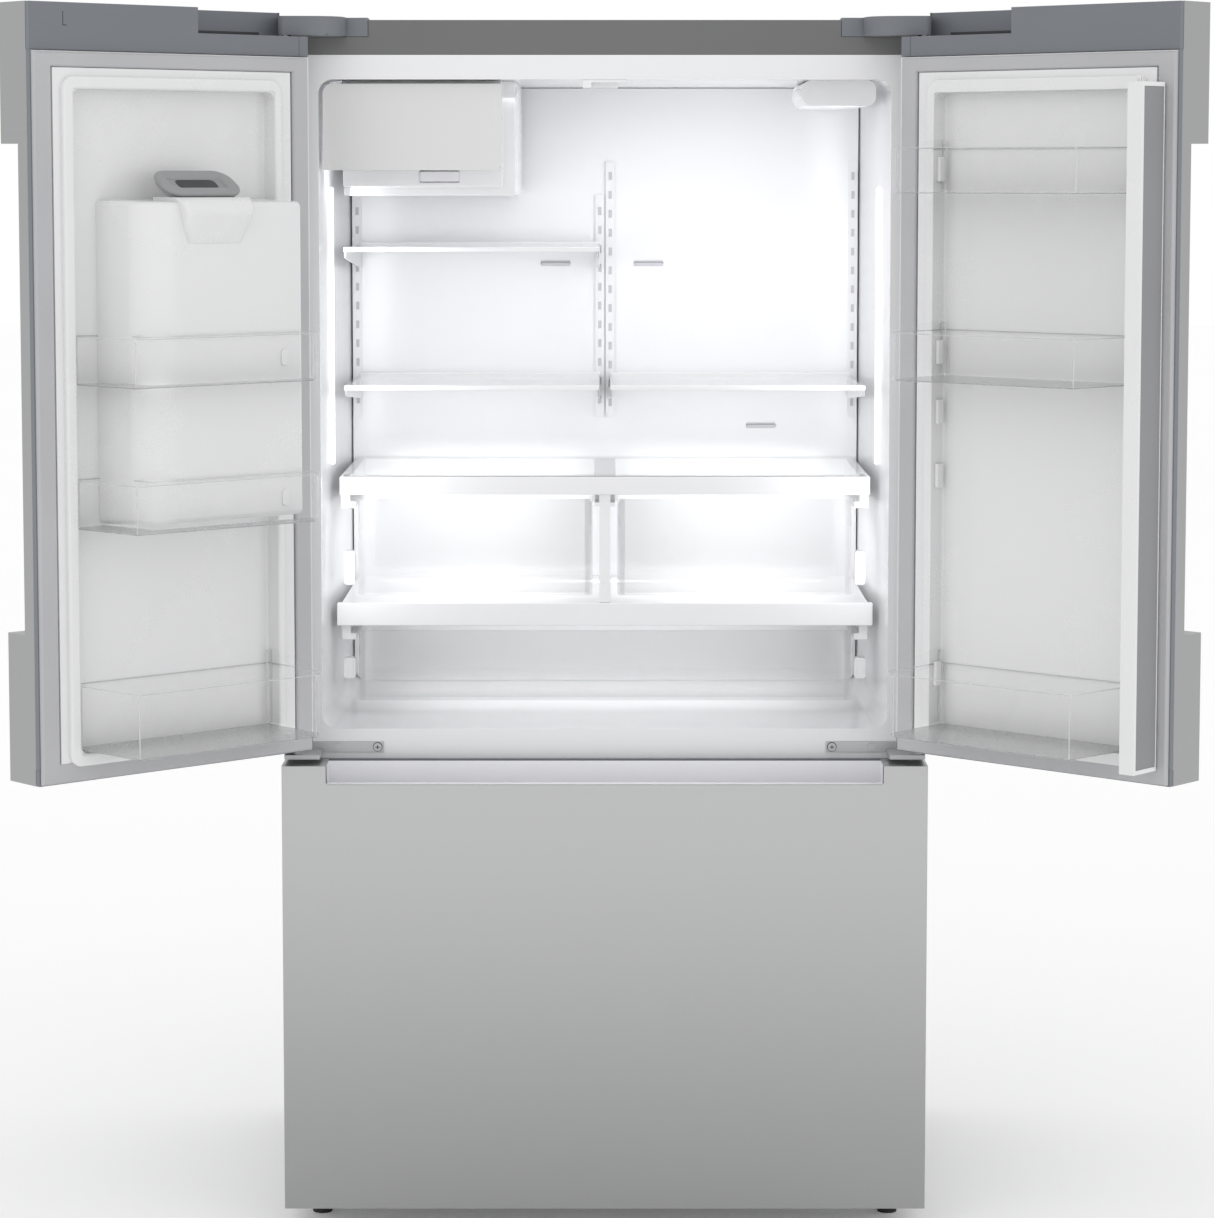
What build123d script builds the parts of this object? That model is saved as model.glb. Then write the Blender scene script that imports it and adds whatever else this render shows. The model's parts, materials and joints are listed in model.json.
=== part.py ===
from build123d import *
import os
from math import cos, radians, sin

os.makedirs("parts", exist_ok=True)

# A french door refrigerator with a bottom freezer drawer, in millimetres. X is across the front, Y goes
# from the front to the back and Z is up. The origin is on the floor, under the middle of the box that
# holds the whole object with both doors open. Depths are measured back from the doors' front faces.

# Driving dimensions: cabinet
case_width = 905.0
case_depth = 610.0
case_bottom = 50.0
case_top = 1708.0
sheet = 1.0
liner_wall = 2.0

# Driving dimensions: doors and freezer drawer
door_thickness = 73.0
gasket_gap = 10.0
gasket_clearance = 0.4
door_open_deg = 138.0
hinge_inset = 10.0
hinge_depth = 33.0
centre_gap = 4.0
door_bottom = 689.5
door_top = 1716.8
drawer_bottom = 36.0
drawer_top = 668.3
pin_radius = 5.0
pin_clearance = 0.05
running_gap = 0.5
seat = 0.3

# Driving dimensions: fresh food compartment
opening_half = 401.0
opening_back_half = 390.0
opening_low = 708.5
opening_high = 1625.5
opening_radius = 20.0
duct_depth = 560.0
duct_thickness = 45.0
shelf_front = 215.0
shelf_back = 545.0
upper_shelf_z = 1384.0
lower_shelf_z = 1184.0
crisper_low = 884.0
crisper_high = 1024.0
crisper_trim_low = 1031.0
crisper_trim_high = 1057.0
pan_low = 730.0
pan_high = 832.0
pan_trim_low = 840.0
pan_trim_high = 873.0
drawer_half = 361.0

# Driving dimensions: freezer compartment
freezer_low = 100.0
freezer_high = 640.0
freezer_depth = 470.0

# Driving dimensions: door inner side, measured across from the closing line
dyke_edge = 43.0
dyke_hinge_edge = 397.0
dyke_width = 17.0
dyke_hinge_width = 12.0
dyke_rise = 15.0
dyke_depth = door_thickness + dyke_rise
pocket_width = 32.0
pocket_depth = 42.5
pocket_low = 888.0
pocket_high = 1533.0
cap_height = 62.3
bin_depth = 205.0
bin_wall = 2.5
housing_bin_room = 47.0
housing_depth = bin_depth - housing_bin_room
housing_low = 1030.0
housing_high = 1460.0

# Driving dimensions: flip mullion between the doors
mullion_width = 57.0
mullion_thickness = 22.0
mullion_face = 14.0
mullion_low = 712.0
mullion_high = 1612.0
mullion_pin_radius = 2.5

# Places worked out from the driving dimensions
half_width = case_width / 2
cabinet_front = door_thickness + gasket_gap
cabinet_back = cabinet_front + case_depth
hinge_x = half_width - hinge_inset
gasket_depth = cabinet_front - gasket_clearance
door_edge = centre_gap / 2
mullion_base = cabinet_front + 1.0
mullion_tip = mullion_base + mullion_width
opened = radians(door_open_deg)
tip_along = hinge_x - mullion_face
tip_deep = mullion_tip - hinge_depth
front_reach = hinge_depth - tip_along * sin(opened) + tip_deep * cos(opened)
front_y = -(front_reach + cabinet_back) / 2
cap_low = door_top - cap_height

cabinet = Plane(origin=(0, front_y, 0))


def door_frame(side):
    """The frame of an opened door: its origin is where the closed doors meet, at the front and the floor."""
    angle = -side * opened
    across = Vector(cos(angle), sin(angle), 0)
    back = Vector(-sin(angle), cos(angle), 0)
    hinge = Vector(-side * hinge_x, front_y + hinge_depth, 0)
    origin = hinge + across * (side * hinge_x) - back * hinge_depth
    return Plane(origin=origin, x_dir=across, z_dir=(0, 0, 1))


door_frames = {1: door_frame(1), -1: door_frame(-1)}


def facing(frame, depth):
    """The upright plane at a depth in a frame, looking out of the front."""
    return Plane(origin=frame.origin + frame.y_dir * depth, x_dir=frame.x_dir, z_dir=-frame.y_dir)


def crosswise(frame, across):
    """The upright plane at a place across a frame, with depth as its first direction."""
    return Plane(origin=frame.origin + frame.x_dir * across, x_dir=frame.y_dir, z_dir=frame.x_dir)


def middle(span):
    return (span[0] + span[1]) / 2


def length(span):
    return span[1] - span[0]


def across(side, near, far):
    """The span on one door between two distances from the closing line."""
    return tuple(sorted((-side * near, -side * far)))


def block(frame, xs, ys, zs, radius=0, mode=Mode.ADD):
    """A prism that stands on a rectangle, which may have rounded corners."""
    with BuildSketch(frame.offset(zs[0])) as outline:
        with Locations((middle(xs), middle(ys))):
            if radius:
                RectangleRounded(length(xs), length(ys), radius)
            else:
                Rectangle(length(xs), length(ys))
    extrude(outline.sketch, amount=length(zs), mode=mode)


def panel(frame, xs, ys, zs, radius=0, mode=Mode.ADD):
    """A prism whose front view is a rectangle, which may have rounded corners."""
    with BuildSketch(facing(frame, ys[0])) as outline:
        with Locations((middle(xs), middle(zs))):
            if radius:
                RectangleRounded(length(xs), length(zs), radius)
            else:
                Rectangle(length(xs), length(zs))
    extrude(outline.sketch, amount=-length(ys), mode=mode)


def tube(frame, xs, ys, zs, wall, radius=0):
    """An open box: a prism with a hollow that leaves a floor and four walls."""
    block(frame, xs, ys, zs, radius)
    inner_xs = (xs[0] + wall, xs[1] - wall)
    inner_ys = (ys[0] + wall, ys[1] - wall)
    inner_radius = max(radius - wall, 0)
    block(frame, inner_xs, inner_ys, (zs[0] + wall, zs[1] + wall), inner_radius, Mode.SUBTRACT)


def upright_cylinder(frame, x, y, zs, radius, mode=Mode.ADD):
    with BuildSketch(frame.offset(zs[0])) as outline:
        with Locations((x, y)):
            Circle(radius)
    extrude(outline.sketch, amount=length(zs), mode=mode)


def cross_cylinder(frame, xs, y, z, radius, mode=Mode.ADD):
    with BuildSketch(crosswise(frame, xs[0])) as outline:
        with Locations((y, z)):
            Circle(radius)
    extrude(outline.sketch, amount=length(xs), mode=mode)


def lengthwise_cylinder(frame, x, ys, z, radius, mode=Mode.ADD):
    with BuildSketch(facing(frame, ys[0])) as outline:
        with Locations((x, z)):
            Circle(radius)
    extrude(outline.sketch, amount=-length(ys), mode=mode)


def write(piece, label):
    """Labels a finished piece and writes it as its own file."""
    piece.part.label = label
    export_step(piece.part, f"parts/{label}.step")


# ---------------------------------------------------------------- cabinet shell

strip_depth = 42.0
strip_low = 1659.5
strip_back = cabinet_front + strip_depth
return_width = 12.0
inner_half = half_width - sheet

with BuildPart() as outer_case:
    case_xs = (-half_width, half_width)
    block(cabinet, case_xs, (cabinet_front, cabinet_back), (case_bottom, case_top))
    block(cabinet, (-inner_half, inner_half), (cabinet_front, cabinet_back),
          (case_bottom, case_top - sheet), mode=Mode.SUBTRACT)
    block(cabinet, (-inner_half, inner_half), (cabinet_front, strip_back),
          (case_top - sheet, case_top), mode=Mode.SUBTRACT)
    for side in (1, -1):
        block(cabinet, across(side, half_width - return_width, inner_half),
              (cabinet_front, cabinet_front + sheet), (case_bottom, strip_low))
write(outer_case, "outer_case")

gland_x = 360.0
gland_z = 250.0
gland_radius = 9.0
machine_top = 288.0
vent_count = 9
vent_pitch = 80.0
with BuildPart() as back_panel:
    panel_half = inner_half - 0.2
    back_ys = (cabinet_back - sheet, cabinet_back)
    panel(cabinet, (-panel_half, panel_half), back_ys, (machine_top, case_top - sheet - 0.2))
    panel(cabinet, (-panel_half, panel_half), back_ys, (case_bottom, machine_top - 1.0))
    with BuildSketch(facing(cabinet, back_ys[0])) as vents:
        with Locations((0, 170)):
            with GridLocations(vent_pitch, 40, vent_count, 4):
                SlotOverall(56, 8)
    extrude(vents.sketch, amount=-sheet, mode=Mode.SUBTRACT)
    lengthwise_cylinder(cabinet, gland_x, back_ys, gland_z, gland_radius + seat, Mode.SUBTRACT)
write(back_panel, "back_panel")

foam_half = half_width - sheet - 0.2
foam_inner = opening_half + liner_wall + 1.0
foam_front = cabinet_front + 9.0
foam_back = cabinet_back - sheet - 1.0
foam_low = case_bottom + 12.0
foam_top = case_top - sheet - 0.5
fresh_back = duct_depth + duct_thickness
liner_top = opening_high + liner_wall
back_slab_front = fresh_back + liner_wall + 2.0
divider_low = freezer_high + liner_wall + 1.0
divider_high = opening_low - liner_wall - 1.0
machine_roof = machine_top + 42.0
machine_wall_front = freezer_depth + liner_wall + 1.0
machine_wall_back = machine_wall_front + 30.0
with BuildPart() as insulation:
    core_xs = (-foam_inner, foam_inner)
    for side in (1, -1):
        block(cabinet, across(side, foam_inner, foam_half), (foam_front, foam_back), (foam_low, strip_low))
    block(cabinet, (-foam_half, foam_half), (strip_back, foam_back), (strip_low, foam_top))
    block(cabinet, core_xs, (foam_front, foam_back), (liner_top + 1.0, strip_low))
    block(cabinet, core_xs, (back_slab_front, foam_back), (machine_roof, liner_top + 1.0))
    block(cabinet, core_xs, (foam_front, back_slab_front), (divider_low, divider_high))
    block(cabinet, core_xs, (machine_wall_front, foam_back), (machine_top, machine_roof))
    block(cabinet, core_xs, (machine_wall_front, machine_wall_back), (foam_low, machine_top))
    block(cabinet, core_xs, (foam_front, machine_wall_front), (foam_low, freezer_low - liner_wall))
write(insulation, "insulation")


def tapered_tub(front_half, back_half, zs, ys, radius, mode=Mode.ADD):
    """A tub that narrows towards its back."""
    with BuildSketch(facing(cabinet, ys[0])) as mouth:
        with Locations((0, middle(zs))):
            RectangleRounded(2 * front_half, length(zs), radius)
    with BuildSketch(facing(cabinet, ys[1])) as back:
        with Locations((0, middle(zs))):
            RectangleRounded(2 * back_half, length(zs), radius)
    loft([mouth.sketch.face(), back.sketch.face()], mode=mode)


flange_half = half_width - return_width - 0.3
with BuildPart() as fresh_food_liner:
    flange_ys = (cabinet_front, cabinet_front + liner_wall)
    panel(cabinet, (-flange_half, flange_half), flange_ys, (drawer_top - 2.0, strip_low))
    tapered_tub(opening_half + liner_wall, opening_back_half + liner_wall,
                (opening_low - liner_wall, opening_high + liner_wall),
                (cabinet_front, fresh_back + liner_wall), opening_radius + liner_wall)
    tapered_tub(opening_half, opening_back_half, (opening_low, opening_high),
                (cabinet_front, fresh_back), opening_radius, Mode.SUBTRACT)
write(fresh_food_liner, "fresh_food_liner")

with BuildPart() as freezer_liner:
    panel(cabinet, (-flange_half, flange_half), flange_ys, (case_bottom + 2.0, drawer_top - 2.3))
    panel(cabinet, (-opening_half - liner_wall, opening_half + liner_wall),
          (cabinet_front, freezer_depth + liner_wall),
          (freezer_low - liner_wall, freezer_high + liner_wall), opening_radius)
    panel(cabinet, (-opening_half, opening_half), (cabinet_front, freezer_depth),
          (freezer_low, freezer_high), opening_radius, Mode.SUBTRACT)
write(freezer_liner, "freezer_liner")

# ---------------------------------------------------------------- hinges

cover_low = 1685.0
cover_high = 1711.0
cover_reach = 331.0
cover_curve = 361.0
ledge_z = 1683.0
end_radius = 9.0
arm_low = 1689.0
arm_high = 1694.0
arm_clearance = 0.3

with BuildPart() as top_strip:
    strip_xs = (-inner_half, inner_half)
    block(cabinet, strip_xs, (cabinet_front, strip_back), (strip_low, case_top))
    for side in (1, -1):
        block(cabinet, across(side, cover_reach - 0.3, inner_half), (cabinet_front, strip_back),
              (cover_low - 0.3, case_top), mode=Mode.SUBTRACT)
write(top_strip, "top_strip")


def hinge_outline(side, inset):
    """The plan of a top hinge: a round nose on the hinge axis and a swept front, running into the cabinet."""
    nose = end_radius - inset
    front = hinge_depth - nose
    with BuildLine() as outline:
        nose_left = (-side * (hinge_x + nose), hinge_depth)
        nose_front = (-side * hinge_x, front)
        Line((-side * (hinge_x + nose), strip_back - 1.0 - inset), nose_left)
        RadiusArc(nose_left, nose_front, -side * nose)
        Line(nose_front, (-side * (hinge_x - 22.0), front))
        Spline((-side * (hinge_x - 22.0), front), (-side * (cover_curve + inset), cabinet_front - 8.0),
               tangents=((side, 0), (0, 1)))
        Line((-side * (cover_curve + inset), cabinet_front - 8.0),
             (-side * (cover_curve + inset), cabinet_front + inset))
        Line((-side * (cover_curve + inset), cabinet_front + inset),
             (-side * (cover_reach + inset), cabinet_front + inset))
        Line((-side * (cover_reach + inset), cabinet_front + inset),
             (-side * (cover_reach + inset), strip_back - 1.0 - inset))
        Line((-side * (cover_reach + inset), strip_back - 1.0 - inset),
             (-side * (hinge_x + nose), strip_back - 1.0 - inset))
    return outline.line


with BuildPart() as hinge_covers:
    for side in (1, -1):
        with BuildSketch(cabinet.offset(cover_low)) as cover_outline:
            make_face(hinge_outline(side, 0.0))
        extrude(cover_outline.sketch, amount=cover_high - cover_low)
        with BuildSketch(cabinet.offset(cover_low)) as cover_hollow:
            make_face(hinge_outline(side, 2.0))
        extrude(cover_hollow.sketch, amount=arm_high + arm_clearance - cover_low, mode=Mode.SUBTRACT)
write(hinge_covers, "hinge_covers")

pin_length = 22.0
with BuildPart() as top_hinges:
    for side in (1, -1):
        with BuildSketch(cabinet.offset(arm_low)) as arm_outline:
            make_face(hinge_outline(side, 2.0 + arm_clearance))
        extrude(arm_outline.sketch, amount=arm_high - arm_low)
        upright_cylinder(cabinet, -side * hinge_x, hinge_depth, (ledge_z - pin_length, arm_low), pin_radius)
        block(cabinet, across(side, cover_reach + 10.0, half_width - 14.0),
              (cabinet_front + 6.0, strip_back - 8.0),
              (cover_low - 0.3, arm_low))
write(top_hinges, "top_hinges")

plate_low = 675.5
plate_high = 690.5
plate_front = cabinet_front - 3.0
tongue_low = 674.5
tongue_high = 680.5
washer_high = door_bottom - 0.3
lower_screw_x = 322.6
screw_z = (plate_low + plate_high) / 2
with BuildPart() as lower_hinges:
    for side in (1, -1):
        block(cabinet, across(side, 314.0, half_width - 2.0), (plate_front, cabinet_front),
              (plate_low, plate_high))
        block(cabinet, across(side, 400.0, half_width - 2.0), (hinge_depth - 12.0, plate_front),
              (tongue_low, tongue_high), 3.0)
        upright_cylinder(cabinet, -side * hinge_x, hinge_depth, (tongue_high, washer_high), 8.0)
        upright_cylinder(cabinet, -side * hinge_x, hinge_depth, (washer_high, door_bottom + 6.5), pin_radius)
        for screw_x in (lower_screw_x, lower_screw_x + 56.0):
            lengthwise_cylinder(cabinet, -side * screw_x, (plate_front - 2.5, plate_front), screw_z, 5.5)
write(lower_hinges, "lower_hinges")

# ---------------------------------------------------------------- inside the fresh food compartment

vent_places = ((-76.0, 1357.0), (67.0, 1357.0), (241.0, 1107.0))
duct_xs = (-opening_back_half + 1.0, opening_back_half - 1.0)
duct_zs = (opening_low + 1.0, opening_high - 1.0)
duct_wall = 3.0
with BuildPart() as rear_duct:
    panel(cabinet, duct_xs, (duct_depth, fresh_back), duct_zs, opening_radius)
    panel(cabinet, (duct_xs[0] + duct_wall, duct_xs[1] - duct_wall), (duct_depth + duct_wall, fresh_back),
          (duct_zs[0] + duct_wall, duct_zs[1] - duct_wall), opening_radius - duct_wall, Mode.SUBTRACT)
    with BuildSketch(facing(cabinet, duct_depth)) as duct_vents:
        with Locations(*vent_places):
            SlotOverall(46, 6)
    extrude(duct_vents.sketch, amount=-duct_wall, mode=Mode.SUBTRACT)
write(rear_duct, "rear_duct")

track_width = 13.0
track_thickness = 4.0
track_pitch = 29.0
track_low = 1122.0
track_slot = (5.0, 12.0)
track_outer = 381.0
track_inner = 8.0
track_tops = ((-track_outer, 1462.0), (-track_inner, 1462.0), (track_inner, 1512.0), (track_outer, 1512.0))
track_front = duct_depth - track_thickness
with BuildPart() as shelf_tracks:
    for track_x, track_top in track_tops:
        track_xs = (track_x - track_width / 2, track_x + track_width / 2)
        panel(cabinet, track_xs, (track_front, duct_depth), (track_low, track_top))
        slot_count = int((track_top - track_low) / track_pitch)
        with BuildSketch(facing(cabinet, track_front)) as track_slots:
            with Locations((track_x, (track_low + track_top) / 2)):
                with GridLocations(track_pitch, track_pitch, 1, slot_count):
                    Rectangle(*track_slot)
        extrude(track_slots.sketch, amount=-track_thickness, mode=Mode.SUBTRACT)
write(shelf_tracks, "shelf_tracks")


def wall_half(depth):
    """Half the width of the fresh food compartment at a depth."""
    share = (depth - cabinet_front) / (fresh_back - cabinet_front)
    return opening_half + (opening_back_half - opening_half) * share


light_depth = 256.0
light_width = 12.0
with BuildPart() as light_strips:
    for side in (1, -1):
        light_face = wall_half(light_depth + light_width / 2)
        block(cabinet, across(side, light_face - 3.0, light_face),
              (light_depth - light_width / 2, light_depth + light_width / 2), (1072.0, 1474.0))
write(light_strips, "light_strips")

with BuildPart() as filter_housing:
    filter_right = wall_half(430.0) - 10.0
    panel(cabinet, (filter_right - 104.0, filter_right), (140.0, 430.0), (1590.0, opening_high), 12.0)
write(filter_housing, "filter_housing")

guide_low = 1614.0
guide_back = 125.0
with BuildPart() as mullion_guide:
    guide_half = 31.0
    peg_room = 18.5
    block(cabinet, (-guide_half, guide_half), (cabinet_front + 1.0, guide_back), (guide_low, opening_high))
    block(cabinet, (-peg_room, guide_half + 1.0), (cabinet_front, guide_back - 6.0),
          (guide_low - 1.0, opening_high - 4.0), mode=Mode.SUBTRACT)
    block(cabinet, (peg_room, guide_half + 1.0), (cabinet_front, guide_back + 1.0),
          (guide_low - 1.0, opening_high - 4.0), mode=Mode.SUBTRACT)
write(mullion_guide, "mullion_guide")

ice_left = wall_half(545.0) - opening_radius
ice_cover_left = 396.0
ice_right = 145.0
ice_low = 1476.0
ice_top = opening_high
ice_mouth = 127.0
ice_band = 142.0
ice_cover_front = 100.0
ice_cover_low = 1499.0
ice_cover_high = 1620.0
bucket_low = 1503.0
bucket_high = 1598.0
outlet_xs = (-262.0, -207.0)
with BuildPart() as ice_box:
    block(cabinet, (-ice_left, -ice_right), (ice_mouth, 160.0), (ice_cover_low, ice_top))
    block(cabinet, (-ice_left, -ice_right), (ice_band, 160.0), (ice_low, ice_cover_low))
    block(cabinet, (-ice_left, -ice_right + 18.0), (160.0, 545.0), (ice_low - 13.0, ice_top))
    block(cabinet, (-ice_left + 9.0, -ice_right - 11.0), (ice_mouth, 520.0),
          (bucket_low - seat, ice_top - 10.0),
          mode=Mode.SUBTRACT)
    block(cabinet, outlet_xs, (ice_band, 172.0), (1482.0, bucket_low), mode=Mode.SUBTRACT)
write(ice_box, "ice_box")

with BuildPart() as ice_bucket_cover:
    panel(cabinet, (-ice_cover_left, -ice_right), (ice_cover_front, ice_mouth - running_gap),
          (ice_cover_low, ice_cover_high))
    cover_edges = ice_bucket_cover.edges().filter_by(Axis.Y)
    fillet(cover_edges.sort_by(Axis.Z)[-2:].sort_by(Axis.X)[0], 14.0)
    bottom_edges = ice_bucket_cover.edges().filter_by(Axis.Y).sort_by(Axis.Z)[:2]
    fillet(bottom_edges.sort_by(Axis.X)[-1], 13.0)
write(ice_bucket_cover, "ice_bucket_cover")

bucket_xs = (-ice_left + 13.0, -ice_right - 15.0)
bucket_ys = (ice_mouth - running_gap, 500.0)
auger_x = (bucket_xs[0] + bucket_xs[1]) / 2
auger_z = bucket_low + 42.0
with BuildPart() as ice_bucket:
    tube(cabinet, bucket_xs, bucket_ys, (bucket_low, bucket_high), 2.5, 6.0)
    upright_cylinder(cabinet, -235.0, 158.0, (bucket_low, bucket_low + 3.0), 22.0, Mode.SUBTRACT)
    lengthwise_cylinder(cabinet, auger_x, (bucket_ys[1] - 3.0, bucket_ys[1]), auger_z,
                        4.0 + pin_clearance, Mode.SUBTRACT)
write(ice_bucket, "ice_bucket")

with BuildPart() as ice_auger:
    lengthwise_cylinder(cabinet, auger_x, (bucket_ys[0] + 12.0, bucket_ys[1] + 8.0), auger_z, 4.0)
    blade_count = 12
    for blade in range(blade_count):
        blade_y = bucket_ys[0] + 30.0 + blade * 26.0
        with BuildSketch(facing(cabinet, blade_y)) as paddle_outline:
            with Locations((auger_x, auger_z)):
                with Locations(Location((0, 0), 50.0 * blade)):
                    SlotOverall(64.0, 9.0)
        extrude(paddle_outline.sketch, amount=-6.0)
write(ice_auger, "ice_auger")

# ---------------------------------------------------------------- shelves

glass = 4.0
bracket_thickness = 3.0
shelf_spans = (("upper_left", 1, upper_shelf_z), ("lower_left", 1, lower_shelf_z),
               ("lower_right", -1, lower_shelf_z))
shelf_inner = 8.0
shelf_outer = 377.0
with BuildPart() as shelf_frames:
    for _, side, shelf_z in shelf_spans:
        shelf_xs = across(side, shelf_inner, shelf_outer)
        block(cabinet, shelf_xs, (shelf_front, shelf_front + 14.0), (shelf_z - 2.0, shelf_z + glass + 0.5))
        block(cabinet, shelf_xs, (shelf_back - 12.0, shelf_back), (shelf_z - 6.0, shelf_z + glass + 2.0))
        for arm_x in (shelf_xs[0], shelf_xs[1] - bracket_thickness):
            with BuildSketch(crosswise(cabinet, arm_x)) as arm_side:
                Polygon((shelf_front + 14.0, shelf_z), (shelf_front + 14.0, shelf_z - 12.0),
                        (shelf_back, shelf_z - 34.0), (track_front, shelf_z - 34.0),
                        (track_front, shelf_z), align=None)
            extrude(arm_side.sketch, amount=bracket_thickness)
write(shelf_frames, "shelf_frames")

with BuildPart() as glass_panes:
    for _, side, shelf_z in shelf_spans:
        block(cabinet, across(side, shelf_inner, shelf_outer), (shelf_front + 14.0, shelf_back - 12.0),
              (shelf_z, shelf_z + glass))
    block(cabinet, (-380.0, 380.0), (shelf_front - 6.0, shelf_back - 2.0),
          (crisper_trim_high, crisper_trim_high + glass))
write(glass_panes, "glass_panes")

# ---------------------------------------------------------------- crispers and wide pan

divider_half = 16.0
trim_half = 384.0
crisper_front = 212.0
crisper_back = 540.0
rail_width = 14.0
rim = 8.0
rim_thickness = 4.0
crisper_rail_top = crisper_high - rim_thickness - running_gap
pan_rail_top = pan_high - rim_thickness - running_gap
with BuildPart() as crisper_frame:
    block(cabinet, (-trim_half, trim_half), (crisper_front - 5.0, crisper_front + 14.0),
          (crisper_trim_low, crisper_trim_high))
    block(cabinet, (-divider_half, divider_half), (crisper_front + 14.0, crisper_back + 5.0),
          (crisper_trim_low, crisper_trim_high))
    block(cabinet, (-divider_half / 2, divider_half / 2), (crisper_front, crisper_back + 5.0),
          (pan_trim_high, crisper_trim_low))
    for side in (1, -1):
        block(cabinet, across(side, drawer_half + 1.0, trim_half), (crisper_front + 14.0, crisper_back + 5.0),
              (crisper_rail_top - 10.0, crisper_rail_top))
        block(cabinet, across(side, drawer_half + rim + 1.0, trim_half),
              (crisper_front + 14.0, crisper_back + 5.0),
              (crisper_rail_top, crisper_trim_high))
        block(cabinet, across(side, divider_half / 2, divider_half - 1.0), (crisper_front, crisper_back),
              (crisper_rail_top - 6.0, crisper_rail_top))
    block(cabinet, (-trim_half, trim_half), (crisper_back + 5.0, duct_depth),
          (crisper_trim_low, crisper_trim_high))
write(crisper_frame, "crisper_frame")

with BuildPart() as pan_lid:
    lid_half = 389.0
    block(cabinet, (-lid_half, lid_half), (crisper_front - 5.0, crisper_front + 9.0),
          (pan_trim_low, pan_trim_high))
    block(cabinet, (-lid_half + 6.0, lid_half - 6.0), (crisper_front + 9.0, duct_depth),
          (pan_trim_high - 6.0, pan_trim_high))
    for side in (1, -1):
        block(cabinet, across(side, drawer_half + 1.0, lid_half - 6.0), (crisper_front + 9.0, crisper_back),
              (pan_rail_top - 10.0, pan_rail_top))
        block(cabinet, across(side, drawer_half + rim + 1.0, lid_half - 6.0),
              (crisper_front + 9.0, crisper_back),
              (pan_rail_top, pan_trim_high - 6.0))
write(pan_lid, "pan_lid")


def sliding_bin(xs, zs, rim_span):
    """A drawer tub: a tall front, a hollow body, and a rim that hangs on the rails at both sides."""
    body = (rim_span[0] + rim + 2.0, rim_span[1] - rim - 2.0)
    tube(cabinet, body, (crisper_front + 6.0, crisper_back), zs, 3.0, 10.0)
    panel(cabinet, xs, (crisper_front, crisper_front + 6.0), zs, 6.0)
    for rim_xs in ((rim_span[0], body[0] + 3.0), (body[1] - 3.0, rim_span[1])):
        block(cabinet, rim_xs, (crisper_front + 6.0, crisper_back - 20.0), (zs[1] - rim_thickness, zs[1]))


for name, side in (("left_crisper", 1), ("right_crisper", -1)):
    with BuildPart() as crisper:
        front_span = across(side, divider_half + 1.5, drawer_half)
        rim_span = across(side, divider_half / 2 + 1.0, drawer_half + rim)
        sliding_bin(front_span, (crisper_low, crisper_high), rim_span)
    write(crisper, name)

with BuildPart() as wide_pan:
    sliding_bin((-drawer_half, drawer_half), (pan_low, pan_high), (-drawer_half - rim, drawer_half + rim))
write(wide_pan, "wide_pan")

# ---------------------------------------------------------------- base and machine compartment

foot_x = 408.0
foot_y = 112.0
foot_radius = 14.0
stem_radius = 6.0
roller_radius = 20.0
roller_x = 400.0
roller_y = 640.0
roller_width = 24.0
axle_radius = 4.0
tray_top = case_bottom + 2.0
tray_half = inner_half - 0.3
with BuildPart() as base_tray:
    block(cabinet, (-tray_half, tray_half), (cabinet_front + 3.0, cabinet_back - 2.0),
          (case_bottom, tray_top))
    block(cabinet, (-tray_half, tray_half), (cabinet_front + 3.0, cabinet_front + 5.0),
          (case_bottom - 8.0, tray_top))
    for side in (1, -1):
        upright_cylinder(cabinet, -side * foot_x, foot_y, (case_bottom - 14.0, tray_top + 9.0), 12.0)
        upright_cylinder(cabinet, -side * foot_x, foot_y, (case_bottom - 15.0, tray_top + 10.0),
                         stem_radius + pin_clearance, Mode.SUBTRACT)
        for cheek_x in (roller_x - roller_width / 2 - 3.0, roller_x + roller_width / 2 + 1.0):
            block(cabinet, across(side, cheek_x, cheek_x + 2.0), (roller_y - 16.0, roller_y + 16.0),
                  (10.0, case_bottom))
        cross_cylinder(cabinet, across(side, roller_x - roller_width / 2 - 5.0,
                                       roller_x + roller_width / 2 + 5.0),
                       roller_y, roller_radius, axle_radius)
write(base_tray, "base_tray")

for name, side in (("left_foot", 1), ("right_foot", -1)):
    with BuildPart() as foot:
        upright_cylinder(cabinet, -side * foot_x, foot_y, (0.0, 12.0), foot_radius)
        upright_cylinder(cabinet, -side * foot_x, foot_y, (12.0, tray_top + 6.0), stem_radius)
    write(foot, name)

with BuildPart() as rear_rollers:
    for side in (1, -1):
        roller_xs = across(side, roller_x - roller_width / 2, roller_x + roller_width / 2)
        cross_cylinder(cabinet, roller_xs, roller_y, roller_radius, roller_radius)
        cross_cylinder(cabinet, roller_xs, roller_y, roller_radius, axle_radius + pin_clearance,
                       Mode.SUBTRACT)
write(rear_rollers, "rear_rollers")

compressor_x = -250.0
compressor_y = 600.0
compressor_radius = 74.0
with BuildPart() as compressor:
    upright_cylinder(cabinet, compressor_x, compressor_y, (tray_top + 14.0, tray_top + 170.0),
                     compressor_radius)
    dome_edges = compressor.edges().filter_by(GeomType.CIRCLE)
    fillet(dome_edges, 34.0)
    block(cabinet, (compressor_x - 92.0, compressor_x + 92.0), (compressor_y - 60.0, compressor_y + 60.0),
          (tray_top + 10.0, tray_top + 16.0), 12.0)
    for mount_x in (compressor_x - 80.0, compressor_x + 80.0):
        for mount_y in (compressor_y - 46.0, compressor_y + 46.0):
            upright_cylinder(cabinet, mount_x, mount_y, (tray_top, tray_top + 10.0), 10.0)
    block(cabinet, (compressor_x + 66.0, compressor_x + 96.0), (compressor_y - 30.0, compressor_y + 30.0),
          (tray_top + 60.0, tray_top + 130.0), 4.0)
write(compressor, "compressor")

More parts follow.
